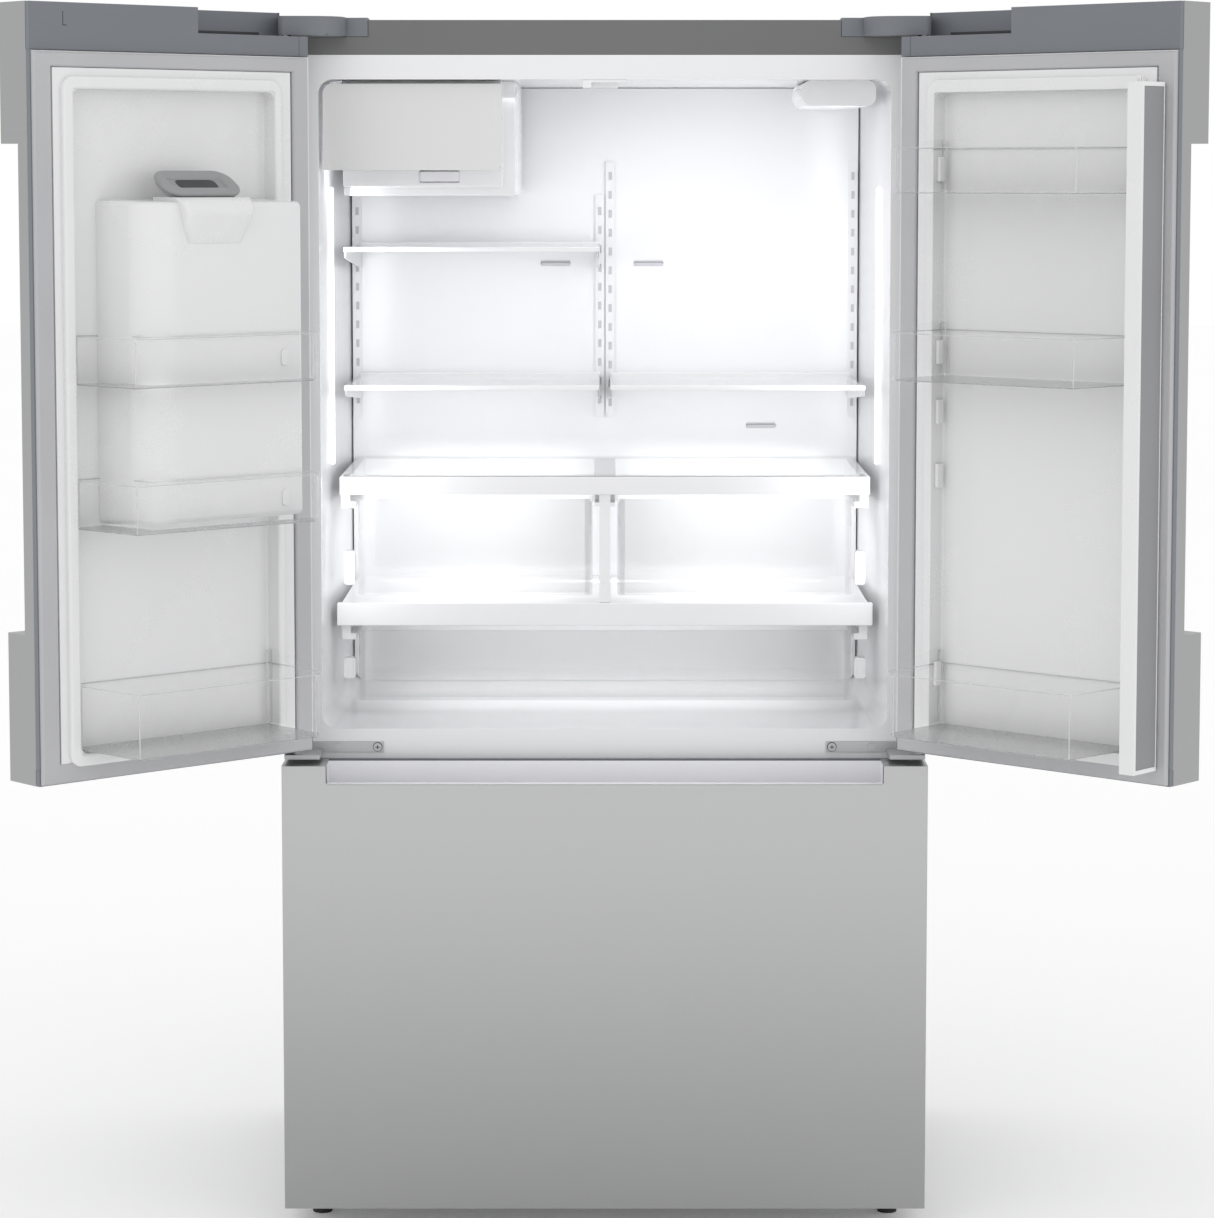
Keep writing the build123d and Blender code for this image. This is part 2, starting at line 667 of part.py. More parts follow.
coil_xs = (90.0, 330.0)
coil_ys = (530.0, 660.0)
coil_zs = (tray_top, tray_top + 170.0)
fan_x = 60.0
fan_y = 595.0
fan_z = tray_top + 86.0
shaft_radius = 3.0
with BuildPart() as condenser:
    fin_count = 25
    fin_pitch = (coil_xs[1] - coil_xs[0]) / (fin_count - 1)
    for fin in range(fin_count):
        fin_x = coil_xs[0] + fin * fin_pitch
        block(cabinet, (fin_x - 0.5, fin_x + 0.5), coil_ys, coil_zs)
    for row in range(3):
        for column in range(4):
            cross_cylinder(cabinet, (coil_xs[0] - 8.0, coil_xs[1] + 8.0), coil_ys[0] + 20.0 + 30.0 * column,
                           coil_zs[0] + 30.0 + 55.0 * row, 4.0)
    block(cabinet, (coil_xs[0] - 8.0, coil_xs[0] - 6.0), (coil_ys[0] - 8.0, coil_ys[1] + 8.0), coil_zs)
    cross_cylinder(cabinet, (coil_xs[0] - 10.0, coil_xs[0]), fan_y, fan_z, 56.0, Mode.SUBTRACT)
    block(cabinet, (coil_xs[0] - 8.0, coil_xs[0] - 6.0), (fan_y - 10.0, fan_y + 10.0), coil_zs)
    cross_cylinder(cabinet, (coil_xs[0] - 14.0, coil_xs[0] - 6.0), fan_y, fan_z, 18.0)
    cross_cylinder(cabinet, (fan_x - 14.0, coil_xs[0] - 14.0), fan_y, fan_z, shaft_radius)
write(condenser, "condenser")


def fan(frame_at, blades, radius, thickness):
    """A fan that turns on a shaft along the normal of its own plane."""
    with BuildSketch(frame_at) as fan_hub:
        Circle(radius * 0.3)
    extrude(fan_hub.sketch, amount=thickness)
    with BuildSketch(frame_at.offset(thickness * 0.3)) as fan_blades:
        with PolarLocations(radius * 0.62, blades):
            Ellipse(radius * 0.38, radius * 0.2)
    extrude(fan_blades.sketch, amount=thickness * 0.35)
    with BuildSketch(frame_at.offset(-1.0)) as fan_bore:
        Circle(shaft_radius + pin_clearance)
    extrude(fan_bore.sketch, amount=thickness - 1.0, mode=Mode.SUBTRACT)


with BuildPart() as condenser_fan:
    fan_plane = Plane(origin=cabinet.origin + Vector(fan_x + 8.0, fan_y, fan_z), x_dir=(0, 1, 0),
                      z_dir=(-1, 0, 0))
    fan(fan_plane, 5, 52.0, 24.0)
write(condenser_fan, "condenser_fan")

evaporator_fan_z = 440.0
with BuildPart() as evaporator:
    plate_count = 34
    plate_pitch = 15.0
    for plate in range(plate_count):
        plate_x = (plate - (plate_count - 1) / 2) * plate_pitch
        block(cabinet, (plate_x - 0.5, plate_x + 0.5), (436.0, freezer_depth), (140.0, 330.0))
    for row in range(6):
        cross_cylinder(cabinet, (-262.0, 262.0), 453.0, 155.0 + 32.0 * row, 4.0)
    block(cabinet, (-40.0, 40.0), (460.0, freezer_depth), (330.0, evaporator_fan_z))
    lengthwise_cylinder(cabinet, 0.0, (456.0, freezer_depth), evaporator_fan_z, 22.0)
    lengthwise_cylinder(cabinet, 0.0, (437.0, 456.0), evaporator_fan_z, shaft_radius)
write(evaporator, "evaporator")

with BuildPart() as evaporator_fan:
    fan_origin = facing(cabinet, 455.0)
    fan_origin.origin = fan_origin.origin + Vector(0, 0, evaporator_fan_z)
    fan(fan_origin, 5, 46.0, 20.0)
write(evaporator_fan, "evaporator_fan")

cover_back = 432.0
with BuildPart() as evaporator_cover:
    panel(cabinet, (-opening_half + seat, opening_half - seat), (cover_back - 3.0, cover_back),
          (freezer_low + seat, freezer_high - seat), opening_radius)
    lengthwise_cylinder(cabinet, 0.0, (cover_back - 4.0, cover_back + 1.0), evaporator_fan_z, 40.0,
                        Mode.SUBTRACT)
    with BuildSketch(facing(cabinet, cover_back - 4.0)) as cover_vents:
        with Locations((0, 130.0), (-260.0, evaporator_fan_z), (260.0, evaporator_fan_z)):
            with GridLocations(60.0, 14.0, 4, 2):
                SlotOverall(40.0, 6.0)
    extrude(cover_vents.sketch, amount=-5.0, mode=Mode.SUBTRACT)
write(evaporator_cover, "evaporator_cover")

with BuildPart() as cord_gland:
    lengthwise_cylinder(cabinet, gland_x, (cabinet_back - 16.0, cabinet_back), gland_z, gland_radius)
    lengthwise_cylinder(cabinet, gland_x, (cabinet_back - 5.0, cabinet_back - sheet - 0.1), gland_z, 14.0)
    lengthwise_cylinder(cabinet, gland_x, (cabinet_back - 17.0, cabinet_back + 1.0), gland_z, 5.0,
                        Mode.SUBTRACT)
write(cord_gland, "cord_gland")

# ---------------------------------------------------------------- doors

skin_return = 9.0
skin_depth = door_thickness - skin_return
rim_depth = skin_depth + seat
hinge_well = 270.0
well_front = 8.0
core_inset = sheet + seat
gasket_outer = (3.5, 446.0)
gasket_zs = (692.0, 1652.0)
gasket_inner_zs = (711.0, 1625.5)
gasket_width = 26.5
recess_floor = 60.0
dyke_low = 712.0
dyke_high = 1621.0
dyke_radius = 18.0
recess_radius = 4.0
base_high = door_bottom + 22.0
niche_xs = (128.0, 352.0)
niche_zs = (1070.0, 1440.0)
niche_depth = 112.0
niche_wall = 3.0
housing_edges = (109.0, 381.0)
housing_face_edges = (130.0, 376.0)
chute_edges = (169.0, 293.0)
chute_front = (housing_depth - 12.0, 1465.0)
chute_back = (housing_depth - 65.0, 1497.5)
chute_lip = 17.0
housing_room = 1.5
mullion_back = mullion_face + mullion_thickness
mullion_axis = (21.55, 90.95)
lug_zs = ((760.0, 772.0), (1552.0, 1564.0))
lug_radius = 4.3
lug_room = lug_radius + 1.2


def pocket_cut(frame, side, grow):
    """The pocket grip along the free edge of a door, larger all round by a given amount."""
    block(frame, across(side, door_edge - 1.0, door_edge + pocket_width + grow), (-1.0, pocket_depth + grow),
          (pocket_low - grow, pocket_high + grow), mode=Mode.SUBTRACT)


def hinge_well_cut(frame, side, grow):
    block(frame, across(side, hinge_well - grow, half_width + 1.0), (well_front - grow, door_thickness + 1.0),
          (ledge_z - grow, door_top + 1.0), mode=Mode.SUBTRACT)


def door_skin(skin, side):
    """The stainless wrap of a door: its front, both sides and the pocket grip."""
    frame = door_frames[side]
    inner_zs = (door_bottom - 1.0, door_top + 1.0)
    pocket_edge = door_edge + pocket_width + sheet
    block(frame, across(side, door_edge, half_width), (0.0, skin_depth), (door_bottom, door_top))
    upright_edges = skin.edges().filter_by(Axis.Z)
    fillet([edge for edge in upright_edges if frame.to_local_coords(edge.center()).Y < 1.0], 2.5)
    pocket_cut(frame, side, 0.0)
    hinge_well_cut(frame, side, 0.0)
    block(frame, across(side, pocket_edge, half_width - sheet), (sheet, skin_depth + 1.0), inner_zs,
          mode=Mode.SUBTRACT)
    for zs in ((inner_zs[0], pocket_low - sheet), (pocket_high + sheet, inner_zs[1])):
        block(frame, across(side, door_edge + sheet, pocket_edge + 1.0), (sheet, skin_depth + 1.0), zs,
              mode=Mode.SUBTRACT)
    block(frame, across(side, door_edge + sheet, pocket_edge + 1.0), (pocket_depth + sheet, skin_depth + 1.0),
          (pocket_low - sheet - 1.0, pocket_high + sheet + 1.0), mode=Mode.SUBTRACT)


def door_core(side):
    """The moulded liner of a door with the foam behind it."""
    frame = door_frames[side]
    core_xs = across(side, door_edge + core_inset, half_width - core_inset)
    core_zs = (base_high + seat, cap_low - seat)
    block(frame, core_xs, (core_inset, skin_depth + seat), core_zs)
    block(frame, across(side, door_edge, half_width), (rim_depth, door_thickness), core_zs)
    pocket_cut(frame, side, core_inset)
    panel(frame, across(side, dyke_edge, dyke_hinge_edge), (door_thickness - 1.0, dyke_depth),
          (dyke_low, dyke_high),
          dyke_radius)
    panel(frame, across(side, dyke_edge + dyke_width, dyke_hinge_edge - dyke_hinge_width),
          (recess_floor, dyke_depth + 1.0),
          (dyke_low + dyke_width, dyke_high - dyke_width), recess_radius, Mode.SUBTRACT)


def door_caps(side):
    frame = door_frames[side]
    cap_xs = across(side, door_edge + core_inset, half_width - core_inset)
    rim_xs = across(side, door_edge, half_width)
    block(frame, cap_xs, (core_inset, skin_depth + seat), (cap_low, door_top - 0.3))
    block(frame, rim_xs, (rim_depth, door_thickness), (cap_low, door_top - 0.3))
    block(frame, cap_xs, (core_inset, skin_depth + seat), (door_bottom + 0.3, base_high))
    block(frame, rim_xs, (rim_depth, door_thickness), (door_bottom + 0.3, base_high))
    hinge_well_cut(frame, side, core_inset)
    upright_cylinder(frame, -side * hinge_x, hinge_depth, (ledge_z - pin_length - 1.0, ledge_z + 1.0),
                     pin_radius + pin_clearance, Mode.SUBTRACT)
    upright_cylinder(frame, -side * hinge_x, hinge_depth, (door_bottom - 1.0, door_bottom + 8.0),
                     pin_radius + pin_clearance, Mode.SUBTRACT)


def door_gasket(side):
    frame = door_frames[side]
    outer_xs = across(side, *gasket_outer)
    panel(frame, outer_xs, (door_thickness, gasket_depth), gasket_zs, 8.0)
    panel(frame, (outer_xs[0] + gasket_width, outer_xs[1] - gasket_width),
          (door_thickness - 1.0, gasket_depth + 1.0),
          gasket_inner_zs, 6.0, Mode.SUBTRACT)


def housing_side(side, back, back_wall, grow, far):
    """The plan of what a bin leaves free for the dispenser housing, grown towards the bin."""
    near_back = housing_edges[0] - housing_room - grow
    near_front = housing_face_edges[0] - housing_room - grow
    return ((-side * (far + 20.0), back), (-side * near_back, back), (-side * near_front, back_wall + grow),
            (-side * (far + 20.0), back_wall + grow))


def door_bin(side, zs, back_wall):
    """A door bin: slanted at its free end and hung on the liner, with its back wall at a given depth."""
    frame = door_frames[side]
    near = dyke_edge + dyke_width + seat
    far = dyke_hinge_edge - dyke_hinge_width - seat
    back = recess_floor + seat
    corners = ((near, back), (near, dyke_depth - 4.0), (near + 10.0, bin_depth), (far - 26.0, bin_depth),
               (far, bin_depth - 24.0), (far, back))
    with BuildSketch(frame.offset(zs[0])) as outline:
        Polygon(*((-side * corner[0], corner[1]) for corner in corners), align=None)
    extrude(outline.sketch, amount=length(zs))
    housed = back_wall > back
    with BuildSketch(frame.offset(zs[0] + bin_wall)) as hollow:
        Polygon(*((-side * corner[0], corner[1]) for corner in corners), align=None)
        offset(amount=-bin_wall, kind=Kind.INTERSECTION)
        if housed:
            Polygon(*housing_side(side, back - 1.0, back_wall, bin_wall, far), align=None, mode=Mode.SUBTRACT)
    extrude(hollow.sketch, amount=length(zs), mode=Mode.SUBTRACT)
    if housed:
        with BuildSketch(frame.offset(zs[0])) as behind:
            Polygon(*((-side * corner[0], corner[1]) for corner in corners), align=None)
            offset(amount=-bin_wall, kind=Kind.INTERSECTION)
            Polygon(*housing_side(side, back - 1.0, back_wall, 0.0, far), align=None, mode=Mode.INTERSECT)
        extrude(behind.sketch, amount=length(zs), mode=Mode.SUBTRACT)
        block(frame, across(side, housing_edges[0] - housing_room, far - bin_wall),
              (back - 1.0, back + 2 * bin_wall), zs, mode=Mode.SUBTRACT)


for name, side in (("left_door", 1), ("right_door", -1)):
    frame = door_frames[side]
    with BuildPart() as skin:
        door_skin(skin, side)
        if side == 1:
            block(frame, across(side, niche_xs[0] - seat, niche_xs[1] + seat), (-1.0, 3.0),
                  (niche_zs[0] - seat, niche_zs[1] + seat), mode=Mode.SUBTRACT)
    write(skin, f"{name}_skin")
    with BuildPart() as core:
        door_core(side)
        if side == 1:
            block(frame, across(side, niche_xs[0] - seat, niche_xs[1] + seat), (0.0, dyke_depth),
                  (niche_zs[0] - seat, niche_zs[1] + seat), mode=Mode.SUBTRACT)
        else:
            for lug in lug_zs:
                block(frame, across(side, mullion_axis[0], dyke_edge + 2.0),
                      (mullion_axis[1] - lug_radius, mullion_axis[1] + lug_radius), lug)
                upright_cylinder(frame, -side * mullion_axis[0], mullion_axis[1], lug, lug_radius)
                block(frame, across(side, mullion_back + 2.0, dyke_edge + 2.0),
                      (dyke_depth - 8.0, mullion_axis[1]), lug)
                upright_cylinder(frame, -side * mullion_axis[0], mullion_axis[1],
                                 (lug[0] - 1.0, lug[1] + 1.0),
                                 mullion_pin_radius + pin_clearance, Mode.SUBTRACT)
    write(core, f"{name}_liner")
    with BuildPart() as caps:
        door_caps(side)
    write(caps, f"{name}_caps")
    with BuildPart() as door_seal:
        door_gasket(side)
    write(door_seal, f"{name}_gasket")

low_bin = (733.0, 819.0)
middle_bin = (1217.0, 1281.0)
housing_bin = (1027.0, 1091.0)
high_bin = (1468.0, 1528.5)
recess_back = recess_floor + seat
housing_back = housing_depth + seat
for name, side, bins in (
    ("left_door_bins", 1, ((low_bin, recess_back), (housing_bin, housing_back), (middle_bin, housing_back))),
    ("right_door_bins", -1, ((low_bin, recess_back), (middle_bin, recess_back), (high_bin, recess_back))),
):
    with BuildPart() as door_bins:
        for zs, back_wall in bins:
            door_bin(side, zs, back_wall)
    write(door_bins, name)

# ---------------------------------------------------------------- dispenser in the left door

left = door_frames[1]
chute_half = (chute_edges[1] - chute_edges[0]) / 2
chute_x = -middle(chute_edges)
hump_half = chute_half - 4.0
with BuildPart() as dispenser_housing:
    with BuildSketch(facing(left, recess_back)) as housing_base:
        with Locations((-middle(housing_edges), middle((housing_low, housing_high)))):
            RectangleRounded(length(housing_edges), length((housing_low, housing_high)), 14.0)
    with BuildSketch(facing(left, housing_depth)) as housing_face:
        with Locations((-middle(housing_face_edges), middle((housing_low, housing_high)))):
            RectangleRounded(length(housing_face_edges), length((housing_low, housing_high)) - 8.0, 12.0)
    loft([housing_base.sketch.face(), housing_face.sketch.face()])
    with BuildSketch(crosswise(left, chute_x - hump_half)) as hump:
        Polygon((recess_back, housing_high - 30.0), (housing_depth - 2.0, housing_high - 60.0),
                (housing_depth + chute_lip, housing_high - 22.0), (housing_depth + chute_lip,
                                                                   housing_high - 8.0),
                chute_front, chute_back, (recess_back, chute_back[1]), align=None)
    extrude(hump.sketch, amount=2 * hump_half)
    panel(left, across(1, niche_xs[0] - seat, niche_xs[1] + seat), (recess_back - 1.0, niche_depth + seat),
          (niche_zs[0] - seat, niche_zs[1] + seat), mode=Mode.SUBTRACT)
write(dispenser_housing, "dispenser_housing")

slope = Vector(0, chute_back[0] - chute_front[0], chute_back[1] - chute_front[1])
slope_length = slope.length
slope_out = Vector(0, slope.Z, -slope.Y).normalized()
chute_origin = Vector(chute_x, middle((chute_front[0], chute_back[0])),
                      middle((chute_front[1], chute_back[1])))


def in_left_door(vector):
    """A vector of the closed left door, turned with the door."""
    return left.x_dir * vector.X + left.y_dir * vector.Y + left.z_dir * vector.Z


chute_plane = Plane(origin=left.origin + in_left_door(chute_origin), x_dir=left.x_dir,
                    z_dir=in_left_door(slope_out))
with BuildPart() as chute_gasket:
    with BuildSketch(chute_plane) as ring:
        RectangleRounded(2 * chute_half, slope_length - 4.0, 24.0)
        RectangleRounded(2 * chute_half - 76.0, slope_length - 38.0, 10.0, mode=Mode.SUBTRACT)
    extrude(ring.sketch, amount=3.0)
write(chute_gasket, "chute_gasket")

paddle_axis = (76.0, 1338.0)
paddle_half = 26.0
paddle_radius = 3.0
paddle_x = -middle(niche_xs)
with BuildPart() as dispenser_niche:
    panel(left, across(1, niche_xs[0], niche_xs[1]), (0.0, niche_depth), niche_zs)
    panel(left, across(1, niche_xs[0] - 9.0, niche_xs[1] + 9.0), (-2.0, -0.0),
          (niche_zs[0] - 9.0, niche_zs[1] + 9.0), 12.0)
    panel(left, across(1, niche_xs[0] + niche_wall, niche_xs[1] - niche_wall),
          (-3.0, niche_depth - niche_wall),
          (niche_zs[0] + niche_wall, niche_zs[1] - 96.0), 10.0, Mode.SUBTRACT)
    upright_cylinder(left, paddle_x, 38.0, (niche_zs[1] - 118.0, niche_zs[1] - 90.0), 18.0)
    upright_cylinder(left, paddle_x, 38.0, (niche_zs[1] - 119.0, niche_zs[1] - 60.0), 14.0, Mode.SUBTRACT)
    for lug_x in (paddle_x - paddle_half - 6.5, paddle_x + paddle_half + 0.5):
        block(left, (lug_x, lug_x + 6.0), (paddle_axis[0] - 8.0, paddle_axis[0] + 8.0),
              (paddle_axis[1] - 8.0, niche_zs[1] - 90.0))
    cross_cylinder(left, (paddle_x - 60.0, paddle_x + 60.0), *paddle_axis, paddle_radius + pin_clearance,
                   Mode.SUBTRACT)
write(dispenser_niche, "dispenser_niche")

with BuildPart() as dispenser_paddle:
    cross_cylinder(left, (paddle_x - paddle_half - 6.0, paddle_x + paddle_half + 6.0), *paddle_axis,
                   paddle_radius)
    block(left, (paddle_x - paddle_half, paddle_x + paddle_half),
          (paddle_axis[0] - 3.0, paddle_axis[0] + 3.0),
          (1225.0, paddle_axis[1]))
write(dispenser_paddle, "dispenser_paddle")

# ---------------------------------------------------------------- flip mullion on the right door

right = door_frames[-1]
plate_inset = 1.5
plate_ys = (mullion_base + 6.0, mullion_tip - 6.0)
plate_zs = (mullion_low + 6.0, mullion_high - 6.0)
peg_radius = 4.0
with BuildPart() as mullion_bar:
    bar_ys = (mullion_base, mullion_tip)
    block(right, (mullion_face, mullion_back), bar_ys, (mullion_low, mullion_high))
    bar_edges = mullion_bar.edges().filter_by(Axis.Z)
    fillet([edge for edge in bar_edges if right.to_local_coords(edge.center()).Y < mullion_base + 1.0], 5.0)
    panel(right, (mullion_face - 1.0, mullion_face + plate_inset + seat / 2),
          (plate_ys[0] - seat, plate_ys[1] + seat),
          (plate_zs[0] - seat, plate_zs[1] + seat), mode=Mode.SUBTRACT)
    for lug in lug_zs:
        block(right, (mullion_axis[0] - lug_room, mullion_back + 1.0),
              (mullion_base - 1.0, mullion_axis[1] + lug_room),
              (lug[0] - seat, lug[1] + seat), mode=Mode.SUBTRACT)
        upright_cylinder(right, *mullion_axis, (lug[0] - 1.0, lug[1] + 1.0), mullion_pin_radius)
    upright_cylinder(right, mullion_axis[0] + 6.45, mullion_axis[1] + 34.05,
                     (mullion_high, mullion_high + 8.0),
                     peg_radius)
write(mullion_bar, "mullion_bar")

with BuildPart() as mullion_plate:
    panel(right, (mullion_face, mullion_face + plate_inset), plate_ys, plate_zs)
write(mullion_plate, "mullion_plate")

# ---------------------------------------------------------------- freezer drawer

notch_half = 390.5
notch_low = 642.0
grip_ys = (12.0, 52.0)
grip_low = 612.0
grip_wall = 1.5
with BuildPart() as freezer_skin:
    block(cabinet, (-half_width, half_width), (0.0, skin_depth), (drawer_bottom, drawer_top))
    front_edges = freezer_skin.edges().filter_by(Axis.Z)
    fillet(front_edges.sort_by(Axis.Y)[:2], 2.5)
    block(cabinet, (-half_width + sheet, half_width - sheet), (sheet, skin_depth + 1.0),
          (drawer_bottom + sheet, drawer_top - sheet), mode=Mode.SUBTRACT)
    panel(cabinet, (-notch_half, notch_half), (-1.0, skin_depth + 1.0), (notch_low, drawer_top + 20.0), 3.0,
          Mode.SUBTRACT)
write(freezer_skin, "freezer_skin")

with BuildPart() as freezer_inner_panel:
    block(cabinet, (-half_width + core_inset, half_width - core_inset), (core_inset, skin_depth + seat),
          (drawer_bottom + core_inset, drawer_top - core_inset))
    block(cabinet, (-half_width, half_width), (rim_depth, door_thickness), (drawer_bottom, drawer_top))
    block(cabinet, (-notch_half - seat, notch_half + seat), (-1.0, grip_ys[1] + seat),
          (notch_low, drawer_top + 1.0),
          mode=Mode.SUBTRACT)
    block(cabinet, (-notch_half - seat, notch_half + seat), (grip_ys[0] - seat, grip_ys[1] + seat),
          (grip_low - seat, drawer_top + 1.0), mode=Mode.SUBTRACT)
    block(cabinet, (-notch_half - seat, notch_half + seat), (grip_ys[1], skin_depth + seat),
          (drawer_top - 3.0, drawer_top + 1.0), mode=Mode.SUBTRACT)
write(freezer_inner_panel, "freezer_inner_panel")

with BuildPart() as grip_channel:
    block(cabinet, (-notch_half, notch_half), grip_ys, (grip_low, drawer_top - 0.5))
    block(cabinet, (-notch_half, notch_half), (core_inset, grip_ys[0]), (notch_low, notch_low + grip_wall))
    block(cabinet, (-notch_half + grip_wall, notch_half - grip_wall),
          (grip_ys[0] - 1.0, grip_ys[1] - grip_wall),
          (notch_low + grip_wall, drawer_top), mode=Mode.SUBTRACT)
    block(cabinet, (-notch_half + grip_wall, notch_half - grip_wall),
          (grip_ys[0] + grip_wall, grip_ys[1] - grip_wall),
          (grip_low + grip_wall, drawer_top), mode=Mode.SUBTRACT)
write(grip_channel, "grip_channel")

freezer_gasket_inset = 11.5
with BuildPart() as freezer_gasket:
    ring_half = half_width - freezer_gasket_inset
    ring_outer = ((-ring_half, ring_half), (58.0, 662.0))
    panel(cabinet, ring_outer[0], (door_thickness, gasket_depth), ring_outer[1], 8.0)
    panel(cabinet, (ring_outer[0][0] + gasket_width, ring_outer[0][1] - gasket_width),
          (door_thickness - 1.0, gasket_depth + 1.0),
          (ring_outer[1][0] + gasket_width, ring_outer[1][1] - gasket_width), 6.0, Mode.SUBTRACT)
write(freezer_gasket, "freezer_gasket")

slide_z = 230.0
upper_slide_z = 500.0
rail_face = opening_half - 12.0
slide_face = rail_face - seat
slide_thickness = 9.0
rail_span = (cabinet_front + 8.0, cover_back - 6.0)
basket_half = slide_face - slide_thickness
with BuildPart() as drawer_rails:
    for side in (1, -1):
        for rail_z in (slide_z, upper_slide_z):
            block(cabinet, across(side, rail_face, opening_half), rail_span, (rail_z - 15.0, rail_z + 15.0))
            block(cabinet, across(side, rail_face - 1.0, rail_face + 6.0),
                  (rail_span[0] - 1.0, rail_span[1] - 5.0),
                  (rail_z - 8.0, rail_z + 8.0), mode=Mode.SUBTRACT)
write(drawer_rails, "drawer_rails")

with BuildPart() as drawer_slides:
    for side in (1, -1):
        block(cabinet, across(side, basket_half, slide_face), (door_thickness, rail_span[1] - 12.0),
              (slide_z - 12.0, slide_z + 12.0))
        block(cabinet, across(side, slide_face, rail_face + 5.0), (rail_span[0] + 2.0, rail_span[1] - 12.0),
              (slide_z - 7.5, slide_z + 7.5))
        block(cabinet, across(side, basket_half - 24.0, slide_face), (door_thickness, door_thickness + 3.0),
              (slide_z - 60.0, slide_z + 60.0))
write(drawer_slides, "drawer_slides")


def open_basket(ys, zs):
    """A basket with slotted walls."""
    tube(cabinet, (-basket_half, basket_half), ys, zs, 3.0, 12.0)
    with BuildSketch(facing(cabinet, ys[0] - 1.0)) as slots:
        with Locations((0, middle(zs) + 8.0)):
            with GridLocations(36.0, 1.0, 19, 1):
                RectangleRounded(22.0, length(zs) - 60.0, 6.0)
    extrude(slots.sketch, amount=-length(ys) - 2.0, mode=Mode.SUBTRACT)


with BuildPart() as lower_basket:
    open_basket((door_thickness + 3.0, rail_span[1] - 14.0), (125.0, 350.0))
write(lower_basket, "lower_basket")

with BuildPart() as upper_basket:
    open_basket((cabinet_front + 14.0, rail_span[1] - 14.0), (440.0, 585.0))
    for side in (1, -1):
        block(cabinet, across(side, basket_half, slide_face), (cabinet_front + 24.0, rail_span[1] - 14.0),
              (upper_slide_z - 12.0, upper_slide_z + 12.0))
        block(cabinet, across(side, slide_face, rail_face + 5.0), (cabinet_front + 24.0, rail_span[1] - 14.0),
              (upper_slide_z - 7.5, upper_slide_z + 7.5))
write(upper_basket, "upper_basket")
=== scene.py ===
"""French door refrigerator: its surfaces, fittings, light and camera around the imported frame."""

import functools
import json
import logging
import math
from dataclasses import dataclass
from enum import Enum
from typing import Callable

import bpy
from mathutils import Matrix, Vector


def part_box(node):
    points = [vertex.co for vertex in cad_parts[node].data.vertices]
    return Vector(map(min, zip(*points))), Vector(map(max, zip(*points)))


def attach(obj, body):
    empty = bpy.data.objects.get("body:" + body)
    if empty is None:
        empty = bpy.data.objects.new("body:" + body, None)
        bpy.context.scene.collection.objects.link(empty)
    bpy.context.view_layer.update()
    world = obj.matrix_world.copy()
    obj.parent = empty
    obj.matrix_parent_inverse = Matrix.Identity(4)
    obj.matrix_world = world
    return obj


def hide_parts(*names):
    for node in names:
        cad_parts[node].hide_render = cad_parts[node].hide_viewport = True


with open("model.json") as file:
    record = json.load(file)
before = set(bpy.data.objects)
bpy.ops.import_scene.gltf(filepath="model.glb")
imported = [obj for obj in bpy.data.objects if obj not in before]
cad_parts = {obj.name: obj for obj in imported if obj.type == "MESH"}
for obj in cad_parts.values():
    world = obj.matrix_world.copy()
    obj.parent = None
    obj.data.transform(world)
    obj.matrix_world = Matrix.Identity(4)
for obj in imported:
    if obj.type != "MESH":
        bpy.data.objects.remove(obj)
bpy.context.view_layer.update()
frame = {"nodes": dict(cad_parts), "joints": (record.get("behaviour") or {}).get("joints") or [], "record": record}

log = logging.getLogger("refrigerator")

MM = 0.001
Pair = tuple[float, float]
Point = tuple[float, float, float]
Colour = Point
Test = Callable[[Vector, Vector], bool]


# ---- shader tools


@dataclass
class Signal:
    """A number or vector that runs through a material, with Python's own operators."""

    shader: "Shader"
    socket: bpy.types.NodeSocket

    def _math(self, operation: str, first: object, second: object) -> "Signal":
        """Adds one Math node.

        Args:
            operation: The Math node's operation.
            first: Its first value or signal.
            second: Its second value or signal.

        Returns:
            The node's result.
        """
        return self.shader.node("ShaderNodeMath", {"operation": operation}, {0: first, 1: second})

    def __add__(self, other: object) -> "Signal":
        """Adds."""
        return self._math("ADD", self, other)

    def __radd__(self, other: object) -> "Signal":
        """Adds to a number."""
        return self._math("ADD", other, self)

    def __sub__(self, other: object) -> "Signal":
        """Subtracts."""
        return self._math("SUBTRACT", self, other)

    def __rsub__(self, other: object) -> "Signal":
        """Subtracts from a number."""
        return self._math("SUBTRACT", other, self)

    def __mul__(self, other: object) -> "Signal":
        """Multiplies."""
        return self._math("MULTIPLY", self, other)

    def __rmul__(self, other: object) -> "Signal":
        """Multiplies a number."""
        return self._math("MULTIPLY", other, self)

    def __pow__(self, other: object) -> "Signal":
        """Raises to a power."""
        return self._math("POWER", self, other)


